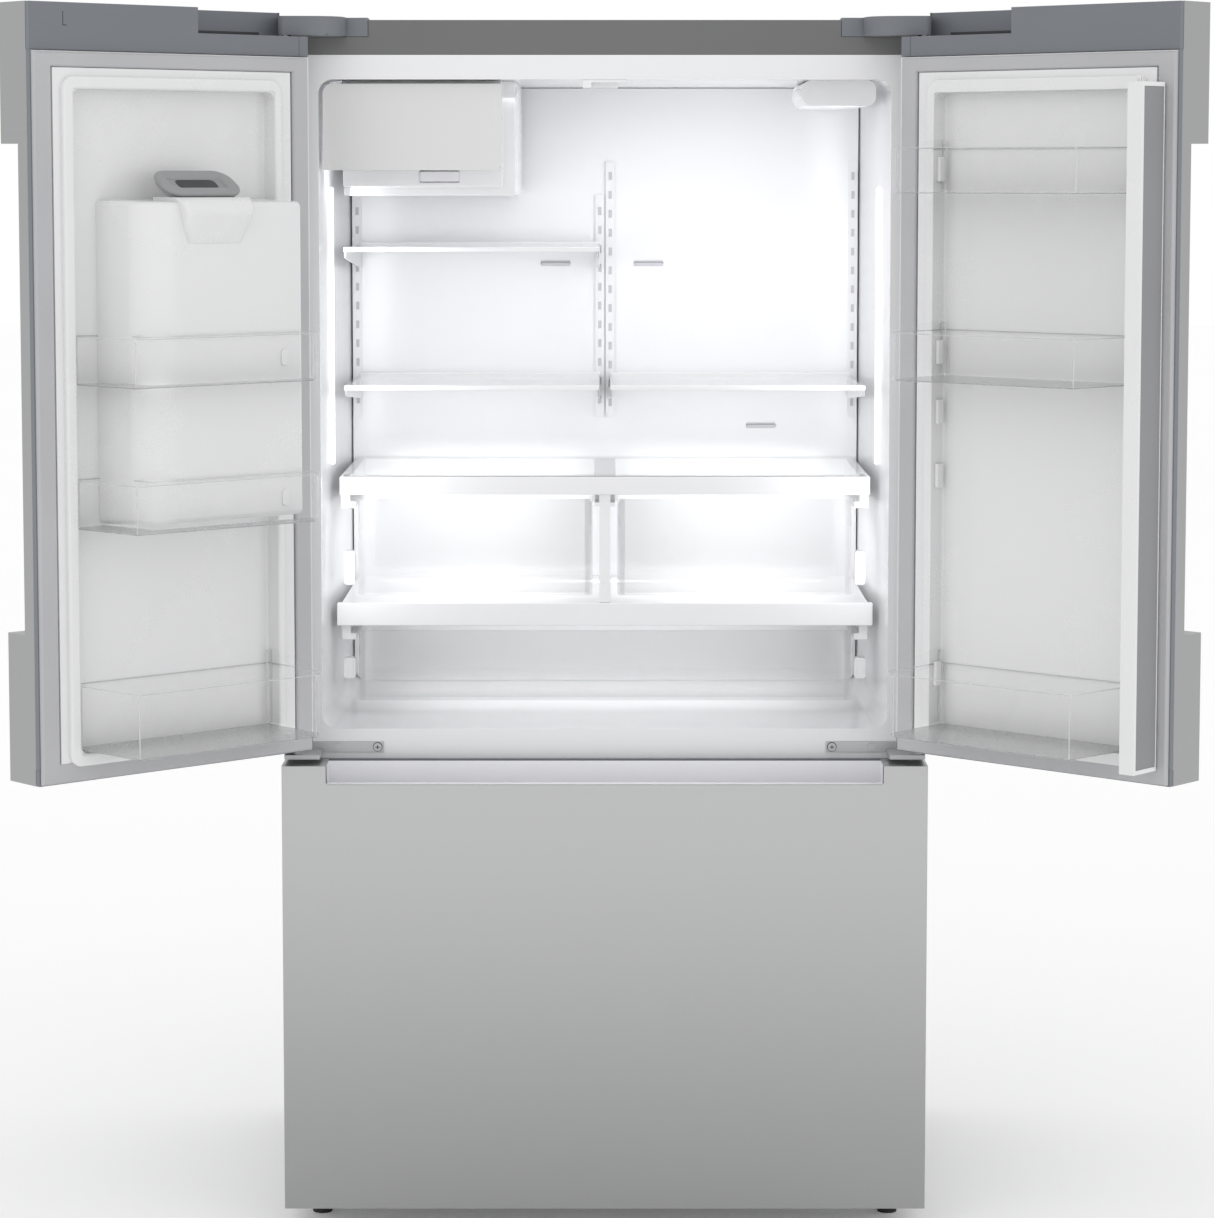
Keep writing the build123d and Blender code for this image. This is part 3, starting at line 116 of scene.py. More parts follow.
class Shader:
    """Builds one material's nodes."""

    def __init__(self, name: str) -> None:
        """Makes an empty material with its Principled shader.

        Args:
            name: The material's name.
        """
        self.material = bpy.data.materials.new(name)
        self.material.use_nodes = True
        self.tree = self.material.node_tree
        self.surface = self.tree.nodes["Principled BSDF"]

    def node(self, kind: str, settings: dict, inputs: dict, output: int | str = 0) -> Signal:
        """Adds a node, its settings first and its inputs after.

        Args:
            kind: The node's type.
            settings: Attribute names and values.
            inputs: Socket names or numbers, with values or signals.
            output: The output to return.

        Returns:
            The signal at that output.
        """
        node = self.tree.nodes.new(kind)
        for key, value in settings.items():
            setattr(node, key, value)
        for key, value in inputs.items():
            self.feed(node.inputs[key], value)
        return Signal(self, node.outputs[output])

    def feed(self, socket: bpy.types.NodeSocket, value: object) -> None:
        """Links a signal to a socket, or sets its value."""
        if isinstance(value, Signal):
            self.tree.links.new(value.socket, socket)
        else:
            socket.default_value = value

    def set(self, **values: object) -> None:
        """Sets the Principled shader's sockets, named with underscores for spaces."""
        for key, value in values.items():
            self.feed(self.surface.inputs[key.replace("_", " ")], value)

    def place(self, scale: Point = (1.0, 1.0, 1.0)) -> Signal:
        """The point on the object, stretched along each axis.

        Args:
            scale: How much each axis is stretched.

        Returns:
            The vector signal.
        """
        point = self.node("ShaderNodeTexCoord", {}, {}, "Object")
        return self.node("ShaderNodeMapping", {}, {"Vector": point, "Scale": scale})

    def noise(self, scale: float, detail: float = 2.0, stretch: Point = (1.0, 1.0, 1.0)) -> Signal:
        """A noise between 0 and 1.

        Args:
            scale: Its features per metre.
            detail: Its number of octaves.
            stretch: How much each axis is stretched.

        Returns:
            The noise.
        """
        inputs = {"Vector": self.place(stretch), "Scale": scale, "Detail": detail}
        return self.node("ShaderNodeTexNoise", {}, inputs)

    def blend(self, factor: object, first: Colour, second: Colour) -> Signal:
        """Mixes two colours.

        Args:
            factor: The second colour's share.
            first: One colour.
            second: The other colour.

        Returns:
            The colour.
        """
        return self.node(
            "ShaderNodeMix", {"data_type": "RGBA"},
            {"Factor": factor, "A": (*first, 1.0), "B": (*second, 1.0)}, 2)

    def bump(self, height: Signal, depth: float, strength: float = 1.0) -> Signal:
        """Turns a height into a normal.

        Args:
            height: The height between 0 and 1.
            depth: What a height of 1 measures, in metres.
            strength: How much of the bump is used.

        Returns:
            The normal.
        """
        return self.node("ShaderNodeBump", {}, {"Height": height, "Distance": depth, "Strength": strength})


def shade(colour: Colour, factor: float) -> Colour:
    """A colour made lighter or darker by a factor."""
    return tuple(min(1.0, part * factor) for part in colour)


LEVEL_LINES: Point = (3.0, 3.0, 900.0)


@dataclass(frozen=True)
class BrushedSteel:
    """Brushed stainless sheet; given two heights in millimetres, it takes painted light and shade, lighter above
    and darker below, fading between them.
    """

    name: str
    colour: Colour
    roughness: float = 0.34
    fade: Pair = (0.0, 0.0)
    low_share: float = 1.0

    def make(self) -> bpy.types.Material:
        """Builds the material."""
        shader = Shader(self.name)
        lines = shader.noise(1.0, 3.0, LEVEL_LINES)
        cloud = shader.noise(2.2)
        mixed = lines * 0.6 + cloud * 0.4
        # Painted reflection of light and shade: the colour brightens towards the top and darkens towards the
        # bottom.
        if self.fade[1] > self.fade[0]:
            height = shader.node("ShaderNodeSeparateXYZ", {}, {0: shader.place()}, "Z")
            span = {1: self.fade[0] * MM, 2: self.fade[1] * MM, 3: 0.0, 4: 1.0}
            smooth = {"interpolation_type": "SMOOTHSTEP"}
            rise = shader.node("ShaderNodeMapRange", smooth, {0: height, **span})
            mixed = mixed * 0.12 + rise * 0.88
            tone = shader.blend(mixed, shade(self.colour, self.low_share), shade(self.colour, 1.12))
        else:
            tone = shader.blend(mixed, shade(self.colour, 0.95), shade(self.colour, 1.05))
        shader.set(Base_Color=tone, Roughness=lines * 0.10 + cloud * 0.05 + self.roughness - 0.07)
        shader.set(Metallic=0.92, Anisotropic=0.35, Normal=shader.bump(lines, 0.00002, 0.35))
        return shader.material


@dataclass(frozen=True)
class Plastic:
    """Moulded plastic or painted metal, with a fine tooled grain and a slight unevenness."""

    name: str
    colour: Colour
    roughness: float = 0.4
    grain: float = 900.0
    depth: float = 0.00004
    mottle: float = 0.03
    coat: float = 0.0
    metal: float = 0.0
    glow: float = 0.0

    def make(self) -> bpy.types.Material:
        """Builds the material."""
        shader = Shader(self.name)
        fine = shader.noise(self.grain)
        cloud = shader.noise(5.0, 3.0)
        tone = shader.blend(cloud, shade(self.colour, 1 - self.mottle), shade(self.colour, 1 + self.mottle))
        shader.set(Base_Color=tone, Roughness=cloud * 0.08 + (self.roughness - 0.04) + fine * 0.02)
        shader.set(Normal=shader.bump(fine, self.depth, 0.5), Metallic=self.metal, Coat_Weight=self.coat)
        shader.set(Coat_Roughness=0.12)
        if self.glow:
            shader.set(Emission_Color=(*self.colour, 1.0), Emission_Strength=self.glow)
        return shader.material


@dataclass(frozen=True)
class Clear:
    """Clear moulded plastic or glass: nearly unseen face on, and brighter at its edges."""

    name: str
    colour: Colour
    face: float = 0.16
    edge: float = 0.7
    roughness: float = 0.08
    frost: float = 0.02
    grain: float = 14.0
    dark: float = 0.97

    def make(self) -> bpy.types.Material:
        """Builds the material."""
        shader = Shader(self.name)
        rim = shader.node("ShaderNodeLayerWeight", {}, {"Blend": 0.35}, "Facing")
        cloud = shader.noise(self.grain, 3.0)
        tone = shader.blend(cloud, shade(self.colour, self.dark), self.colour)
        alpha = (rim ** 3.0) * (self.edge - self.face) + (cloud * self.frost + self.face)
        shader.set(Base_Color=tone, Alpha=alpha, Roughness=cloud * 0.05 + self.roughness)
        shader.set(Coat_Weight=0.6, Coat_Roughness=0.04)
        return shader.material


@dataclass(frozen=True)
class Foam:
    """Poured insulation foam with open cells."""

    name: str
    colour: Colour

    def make(self) -> bpy.types.Material:
        """Builds the material."""
        shader = Shader(self.name)
        cells = shader.node("ShaderNodeTexVoronoi", {}, {"Vector": shader.place(), "Scale": 260.0})
        tone = shader.blend(cells * 1.6, shade(self.colour, 0.8), self.colour)
        shader.set(Base_Color=tone, Roughness=cells * 0.2 + 0.8, Normal=shader.bump(cells, 0.0008))
        return shader.material


class Finishes:
    """Every finish of the refrigerator, each made once."""

    steel = BrushedSteel("brushed_steel", (0.385, 0.387, 0.391))
    # The drawer front's colour is painted lighter at the top and darker at the bottom, standing in for reflected
    # light and shade.
    drawer_steel = BrushedSteel("drawer_steel", (0.475, 0.477, 0.479), fade=(30.0, 670.0), low_share=0.72)
    case = Plastic("case_paint", (0.24, 0.245, 0.26), 0.38, 1400.0, 0.00006, 0.04)
    strip = Plastic("top_strip_paint", (0.155, 0.156, 0.159), 0.34, 1200.0, 0.00005, 0.05)
    cap = Plastic("door_cap_plastic", (0.175, 0.188, 0.208), 0.42, 1600.0, 0.00006, 0.04)
    liner = Plastic("liner_white", (0.86, 0.863, 0.873), 0.22, 500.0, 0.00002, 0.012, 0.25)
    door_liner = Plastic("door_liner_white", (0.78, 0.782, 0.786), 0.26, 500.0, 0.00002, 0.012, 0.25)
    ice_white = Plastic("ice_cover_white", (0.74, 0.74, 0.74), 0.3, 500.0, 0.00002, 0.012, 0.2)
    trim = Plastic("trim_white", (0.83, 0.832, 0.838), 0.3, 700.0, 0.00003, 0.015, 0.1)
    gasket = Plastic("gasket_grey", (0.47, 0.472, 0.484), 0.62, 1500.0, 0.0002, 0.08)
    chute = Plastic("chute_rubber", (0.30, 0.302, 0.308), 0.42, 1500.0, 0.00005, 0.05, 0.15)
    plate = Plastic("mullion_plate_grey", (0.275, 0.277, 0.286), 0.48, 1300.0, 0.0003, 0.10, metal=0.2)
    grip = Plastic("grip_channel_grey", (0.82, 0.82, 0.845), 0.45, 1500.0, 0.00006, 0.03)
    # Grey painted as the shade inside the track slots and the air vents.
    inset = Plastic("inset_grey", (0.58, 0.585, 0.61), 0.5, 1500.0, 0.00006, 0.03)
    dark = Plastic("dark_plastic", (0.035, 0.037, 0.042), 0.42, 1500.0, 0.00008, 0.06)
    zinc = Plastic("zinc_steel", (0.50, 0.505, 0.51), 0.38, 700.0, 0.00005, 0.08, metal=0.7)
    enamel = Plastic("black_enamel", (0.012, 0.012, 0.013), 0.22, 300.0, 0.00008, 0.1, 0.4)
    rubber = Plastic("black_rubber", (0.02, 0.02, 0.021), 0.7, 1800.0, 0.0001, 0.1)
    fins = Plastic("fin_aluminium", (0.68, 0.69, 0.7), 0.32, 400.0, 0.00004, 0.06, metal=0.9)
    lamp = Plastic("lamp_lens", (1.0, 1.0, 1.0), 0.4, 900.0, 0.00003, 0.01, glow=1.4)
    clear = Clear("clear_plastic", (0.96, 0.965, 0.97), 0.012, 0.3)
    # Greyer clear plastic for the bins' rims and hooks, and for the rods that paint highlight lines at their
    # bends.
    edge = Clear("clear_edge", (0.72, 0.725, 0.73), 0.42, 0.9, 0.1, 0.3)
    base = Clear("clear_base", (0.75, 0.755, 0.76), 0.05, 0.7, 0.25, 0.75, 330.0, 0.2)
    frosted = Clear("frosted_plastic", (0.93, 0.935, 0.95), 0.10, 0.6, 0.2, 0.04)
    glass = Clear("shelf_glass", (0.93, 0.96, 0.95), 0.04, 0.5, 0.05, 0.01)
    foam = Foam("cabinet_foam", (0.82, 0.74, 0.5))


@functools.cache
def material(finish: object) -> bpy.types.Material:
    """The Blender material of a finish, built on first use."""
    return finish.make()


def dress(mesh: bpy.types.Mesh, finish: object) -> None:
    """Gives a mesh one finish."""
    mesh.materials.clear()
    mesh.materials.append(material(finish))


# ---- modelling tools


SHARP_DEG = 25.0
WELD = 0.00001


def deselect() -> None:
    """Clears the selection."""
    bpy.ops.object.select_all(action="DESELECT")


def pick(active: bpy.types.Object, *others: bpy.types.Object) -> None:
    """Selects these objects alone and makes the first one active."""
    deselect()
    for obj in (active, *others):
        obj.select_set(True)
    bpy.context.view_layer.objects.active = active


@dataclass
class Piece:
    """One object on the bench, shaped with edit operators, with its finish, its body and its slot."""

    name: str
    finish: object
    body: str
    slot: str
    obj: bpy.types.Object | None = None

    def _take(self) -> None:
        """Adopts the active object and joins it to what is there."""
        new = bpy.context.object
        bpy.ops.object.transform_apply(location=True, rotation=True, scale=True)
        if self.obj is None:
            self.obj = new
            new.name = self.name
            new.data.name = self.name
            return
        pick(self.obj, new)
        bpy.ops.object.join()

    def box(self, low: tuple, high: tuple) -> "Piece":
        """Adds a box between two corners, in millimetres.

        Args:
            low: Its lowest corner.
            high: Its highest corner.

        Returns:
            The piece.
        """
        low_at, high_at = Vector(low) * MM, Vector(high) * MM
        deselect()
        bpy.ops.mesh.primitive_cube_add(size=1.0, location=(low_at + high_at) / 2)
        bpy.context.object.scale = high_at - low_at
        self._take()
        return self

    def rod(self, centre: tuple, radius: float, depth: float, axis: str = "Z", sides: int = 32) -> "Piece":
        """Adds a round rod, in millimetres.

        Args:
            centre: Its middle.
            radius: Its radius.
            depth: Its length.
            axis: The axis it lies along.
            sides: Its number of sides.

        Returns:
            The piece.
        """
        turn = {"X": (0.0, math.pi / 2, 0.0), "Y": (math.pi / 2, 0.0, 0.0), "Z": (0.0, 0.0, 0.0)}[axis]
        deselect()
        bpy.ops.mesh.primitive_cylinder_add(
            vertices=sides, radius=radius * MM, depth=depth * MM, location=Vector(centre) * MM, rotation=turn)
        self._take()
        return self

    def _clear(self, mode: str) -> None:
        """Leaves the mesh with nothing selected, ready to pick faces or edges."""
        pick(self.obj)
        bpy.ops.object.mode_set(mode="EDIT")
        bpy.ops.mesh.select_mode(type=mode)
        bpy.ops.mesh.select_all(action="DESELECT")
        self.done()

    def _edit_all(self) -> None:
        """Opens edit mode with everything selected."""
        self._clear("FACE")
        bpy.ops.object.mode_set(mode="EDIT")
        bpy.ops.mesh.select_all(action="SELECT")

    def faces(self, test: Test) -> int:
        """Selects faces by centre and normal and opens edit mode.

        Args:
            test: Takes the centre in millimetres and the normal.

        Returns:
            How many faces were selected.
        """
        self._clear("FACE")
        count = 0
        for polygon in self.obj.data.polygons:
            polygon.select = bool(test(polygon.center / MM, polygon.normal))
            count += polygon.select
        bpy.ops.object.mode_set(mode="EDIT")
        return count

    def edges(self, test: Test) -> int:
        """Selects sharp edges by their two ends and opens edit mode.

        Args:
            test: Takes both ends, in millimetres.

        Returns:
            How many edges were selected.
        """
        self._clear("EDGE")
        mesh = self.obj.data
        normals: dict[tuple, list[Vector]] = {}
        for polygon in mesh.polygons:
            for key in polygon.edge_keys:
                normals.setdefault(key, []).append(polygon.normal.copy())
        count = 0
        for edge in mesh.edges:
            sides = normals.get(edge.key, [])
            bent = len(sides) != 2 or sides[0].angle(sides[1], 0.0) > math.radians(SHARP_DEG)
            first, last = (mesh.vertices[index].co / MM for index in edge.vertices)
            edge.select = bool(bent and test(first, last))
            count += edge.select
        bpy.ops.object.mode_set(mode="EDIT")
        return count

    def done(self) -> "Piece":
        """Closes edit mode."""
        bpy.ops.object.mode_set(mode="OBJECT")
        return self

    def round(self, test: Test, width: float, segments: int = 3) -> "Piece":
        """Rounds the sharp edges that a test picks.

        Args:
            test: Takes an edge's two ends, in millimetres.
            width: The rounding's width in millimetres.
            segments: The number of faces round it.

        Returns:
            The piece.
        """
        if self.edges(test):
            bpy.ops.mesh.bevel(offset=width * MM, segments=segments, profile=0.5, clamp_overlap=True)
        return self.done()

    def round_all(self, width: float, segments: int = 2) -> "Piece":
        """Rounds every sharp edge."""
        return self.round(lambda first, last: True, width, segments)

    def cut(self, point: tuple, normal: tuple) -> "Piece":
        """Bisects the piece with a plane and closes the cut.

        Args:
            point: A point on the plane, in millimetres.
            normal: The plane's normal; what lies that way is removed.

        Returns:
            The piece.
        """
        self._edit_all()
        bpy.ops.mesh.bisect(plane_co=Vector(point) * MM, plane_no=normal, clear_outer=True, use_fill=True)
        return self.done()

    def carve(self, cutter: "Piece") -> "Piece":
        """Takes another piece's shape away from this one, and uses that piece up.

        Args:
            cutter: The piece to take away.

        Returns:
            The piece.
        """
        self.modify("BOOLEAN", object=cutter.obj, operation="DIFFERENCE")
        bpy.data.objects.remove(cutter.obj)
        return self

    def hollow(self, low: tuple, high: tuple) -> "Piece":
        """Takes away a box between two corners, in millimetres."""
        return self.carve(Piece("hollow", self.finish, self.body, self.slot).box(low, high))

    def join(self, other: "Piece") -> None:
        """Adds another piece's shape to this one, and uses that piece up."""
        pick(other.obj)
        self._take()

    def shift(self, test: Test, push: tuple) -> "Piece":
        """Moves the picked faces and what hangs on them, in millimetres."""
        if self.faces(test):
            bpy.ops.transform.translate(value=Vector(push) * MM)
        return self.done()

    def modify(self, kind: str, **settings: object) -> "Piece":
        """Adds a modifier and applies it.

        Args:
            kind: The modifier's type.
            **settings: Its settings.

        Returns:
            The piece.
        """
        modifier = self.obj.modifiers.new(kind.lower(), kind)
        for key, value in settings.items():
            setattr(modifier, key, value)
        pick(self.obj)
        bpy.ops.object.modifier_apply(modifier=modifier.name)
        return self

    def ready(self, matrix: Matrix | None = None, angle: float = 35.0) -> bpy.types.Object:
        """Places the finished mesh, shades it, dresses it and sets what it rides on.

        Args:
            matrix: The turn from where it was modelled to where it stands.
            angle: Edges flatter than this are shaded smooth, in degrees.

        Returns:
            The finished object.
        """
        self._edit_all()
        bpy.ops.mesh.remove_doubles(threshold=WELD)
        bpy.ops.mesh.normals_make_consistent(inside=False)
        self.done()
        if matrix is not None:
            self.obj.data.transform(matrix)
            if matrix.determinant() < 0:
                self.obj.data.flip_normals()
        bpy.ops.object.shade_smooth_by_angle(angle=math.radians(angle))
        self.modify("WEIGHTED_NORMAL", keep_sharp=True)
        dress(self.obj.data, self.finish)
        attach(self.obj, self.body)
        log.info("%s on %s: %d faces", self.obj.name, self.body, len(self.obj.data.polygons))
        return self.obj


class NodeCopy(Piece):
    """A copy of a frame node, merged so that its edges can be softened."""

    def __init__(self, node: str, finish: object) -> None:
        """Copies a node, under its name with _moulded after it.

        Args:
            node: The frame's node.
            finish: The finish of its faces.
        """
        body = next(key for key, nodes in frame["record"]["behaviour"]["bodies"].items() if node in nodes)
        slot = next(part["material_slot"] for part in frame["record"]["subparts"] if part["node"] == node)
        super().__init__(f"{node}_moulded", finish, body, slot)
        source = frame["nodes"][node]
        deselect()
        self.obj = bpy.data.objects.new(self.name, source.data.copy())
        bpy.context.collection.objects.link(self.obj)
        self.obj.data.materials.clear()
        self._edit_all()
        bpy.ops.mesh.remove_doubles(threshold=2 * WELD)
        bpy.ops.mesh.dissolve_limited(angle_limit=math.radians(0.5))
        self.done()
        self.node = node

    def ready(self, matrix: Matrix | None = None, angle: float = 35.0) -> bpy.types.Object:
        """Finishes the copy, which then stands for its node."""
        obj = super().ready(matrix, angle)
        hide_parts(self.node)
        return obj


# ---- places taken from the frame


class Side(Enum):
    """Which of the two doors, as the sign that turns left measures into its own."""

    LEFT = 1
    RIGHT = -1

    @property
    def word(self) -> str:
        """The side as it stands in node names."""
        return self.name.lower()


def rest_turn(side: Side) -> Matrix:
    """The turn from closed to the rest pose, with the right door mirrored from the left."""
    hinge = next(joint for joint in frame["joints"] if joint["name"] == f"{side.word}_door_hinge")
    place = Matrix.Translation(Vector(hinge["pos_m"]))
    turn = Matrix.Rotation(math.radians(-hinge["range_deg"][0]), 4, Vector(hinge["axis"]))
    mirror = Matrix.Scale(-1.0, 4, Vector((1.0, 0.0, 0.0))) if side is Side.RIGHT else Matrix.Identity(4)
    return place @ turn @ place.inverted() @ mirror


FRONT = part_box("freezer_skin")[0].y / MM
DOOR_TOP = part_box("left_door_skin")[1].z / MM


def deep(depth: float) -> float:
    """The Y of a depth behind the closed doors' faces, in millimetres."""
    return FRONT + depth


def span(across: Pair, depths: Pair, heights: Pair) -> tuple[Point, Point]:
    """The two corners of a box on the closed left door, in millimetres.

    Args:
        across: Its nearest and farthest distances from the line where the doors meet.
        depths: Its least and greatest depths behind the doors' faces.
        heights: Its lowest and highest heights.

    Returns:
        Its lowest and highest corners.
    """
    return (-across[1], deep(depths[0]), heights[0]), (-across[0], deep(depths[1]), heights[1])


def white(name: str, body: str) -> Piece:
    """Starts a piece of a door's white moulding."""
    return Piece(name, Finishes.door_liner, body, "white_liner")


# ---- doors


@dataclass
class DoorBins:
    """The clear bins that hang on a door's liner."""

    side: Side
    bins: tuple[tuple[float, float, bool], ...] = ()
    ears: tuple[float, ...] = (22.0, 13.0, 13.0)
    near: float = 60.3
    far: float = 384.7
    back: float = 60.3
    knee: float = 84.0
    front: float = 205.0
    slant: float = 10.0
    nose: Pair = (26.0, 24.0)
    wall: float = 2.2
    wire: float = 0.9
    housing_near: float = 128.0
    housing_front: float = 159.8

    def outline(self, piece: Piece, low: float, high: float, grow: float, housed: bool) -> Piece:
        """Shapes a solid block to a bin's plan.

        Args:
            piece: The piece to shape.
            low: Its lowest height.
            high: Its highest height.
            grow: How far it stands inside the bin's own plan.
            housed: Whether it leaves room for the dispenser housing.

        Returns:
            The piece.
        """
        plan = (self.near + grow, self.far - grow), (self.back + grow, self.front - grow)
        piece.box(*span(*plan, (low, high)))
        across, along = Vector((self.front - self.knee, self.slant, 0.0)).normalized()[:2]
        piece.cut((-self.near - grow, deep(self.knee), low), (across, along, 0.0))
        tip = (-self.far + grow, deep(self.front - self.nose[1] - grow * 0.4), low)
        piece.cut(tip, (-self.nose[1], self.nose[0], 0.0))
        if housed:
            room = Piece("housing_room", Finishes.clear, piece.body, piece.slot)
            depths = (self.back - 20.3, self.housing_front + grow)
            room.box(*span((self.housing_near - grow, self.far + 15.3), depths, (low - 9.0, high + 9.0)))
            room.shift(lambda centre, normal: normal.y < -0.9, (9.0, 0.0, 0.0))
            piece.carve(room)
        return piece

    def tray(self, name: str, low: float, high: float, housed: bool, raised: float) -> None:
        """Builds one bin: clear walls, a bright rim, a speckled floor, rods at its bends as painted highlights and
        the taller end at the hinge.

        Args:
            name: The piece's name.
            low: Its lowest height.
            high: Its highest height.
            housed: Whether it wraps round the dispenser housing.
            raised: How much taller the hinge end is.
        """
        turn = rest_turn(self.side)
        start = lambda end, finish: Piece(name + end, finish, f"{self.side.word}_door", "clear_plastic")
        walls = self.outline(start("", Finishes.clear), low, high, 0.0, housed)
        upright = lambda a, b: abs(a.z - b.z) > 20 and a.y > deep(self.knee - 2.0)
        walls.round(upright, 3.5, 3)
        walls.round(lambda a, b: max(a.z, b.z) < low + 1 and max(a.y, b.y) > deep(self.knee), 3.0, 3)
        walls.faces(lambda centre, normal: normal.z > 0.9 and centre.z > high - 1)
        bpy.ops.mesh.delete(type="FACE")
        walls.done()
        walls.ready(turn)
        rim = start("_rim", Finishes.edge)
        self.outline(rim, high - 0.9, high + 0.2, 0.0, housed)
        core = start("_core", Finishes.edge)
        rim.carve(self.outline(core, high - 9.0, high + 9.0, self.wall, housed))
        rim.ready(turn)
        floor = start("_base", Finishes.base)
        self.outline(floor, low - 0.2, low + 1.2, 3.0, housed)
        floor.round_all(0.3, 1).ready(turn)
        # Thin rods at the bin's bends: painted highlight lines along its corners.
        corner = start("_corners", Finishes.edge)
        edge = self.front - 1.6
        near = self.near + 1.6
        bends = (near + self.slant, edge), (near, self.knee), (self.far - self.nose[0], edge)
        for across, depth in bends:
            corner.rod((-across, deep(depth), (low + high) / 2), self.wire, high - low - 4.0, sides=10)
        corner.ready(turn)
        ear = start("_ear", Finishes.clear)
        heights = (high - 0.5, high + raised)
        ear.box(*span((self.far - self.wall, self.far), (self.back + 4.0, 150.0), heights))
        ear.shift(lambda centre, normal: normal.y > 0.9, (0.0, 0.0, -raised * 0.5))
        ear.round(lambda a, b: abs(a.x - b.x) > 1 and min(a.z, b.z) > high, 5.0, 4).ready(turn)
        hooks = start("_hooks", Finishes.edge)
        depth, top = deep(self.back + 8.0), high + raised
        for across in (self.far - 8.0, self.far - 1.2):
            hooks.rod((-across, depth, (low + top) / 2), 0.7, top - low - 8.0, sides=10)
        hooks.rod((-self.far + 4.6, depth, top - 4.0), 0.7, 6.8, "X", 10)
        hooks.ready(turn)

    def build(self) -> None:
        """Builds every bin of the door."""
        for index, ((low, high, housed), raised) in enumerate(zip(self.bins, self.ears), 1):
            self.tray(f"{self.side.word}_bin_{index}", low, high, housed, raised)
        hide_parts(f"{self.side.word}_door_bins")


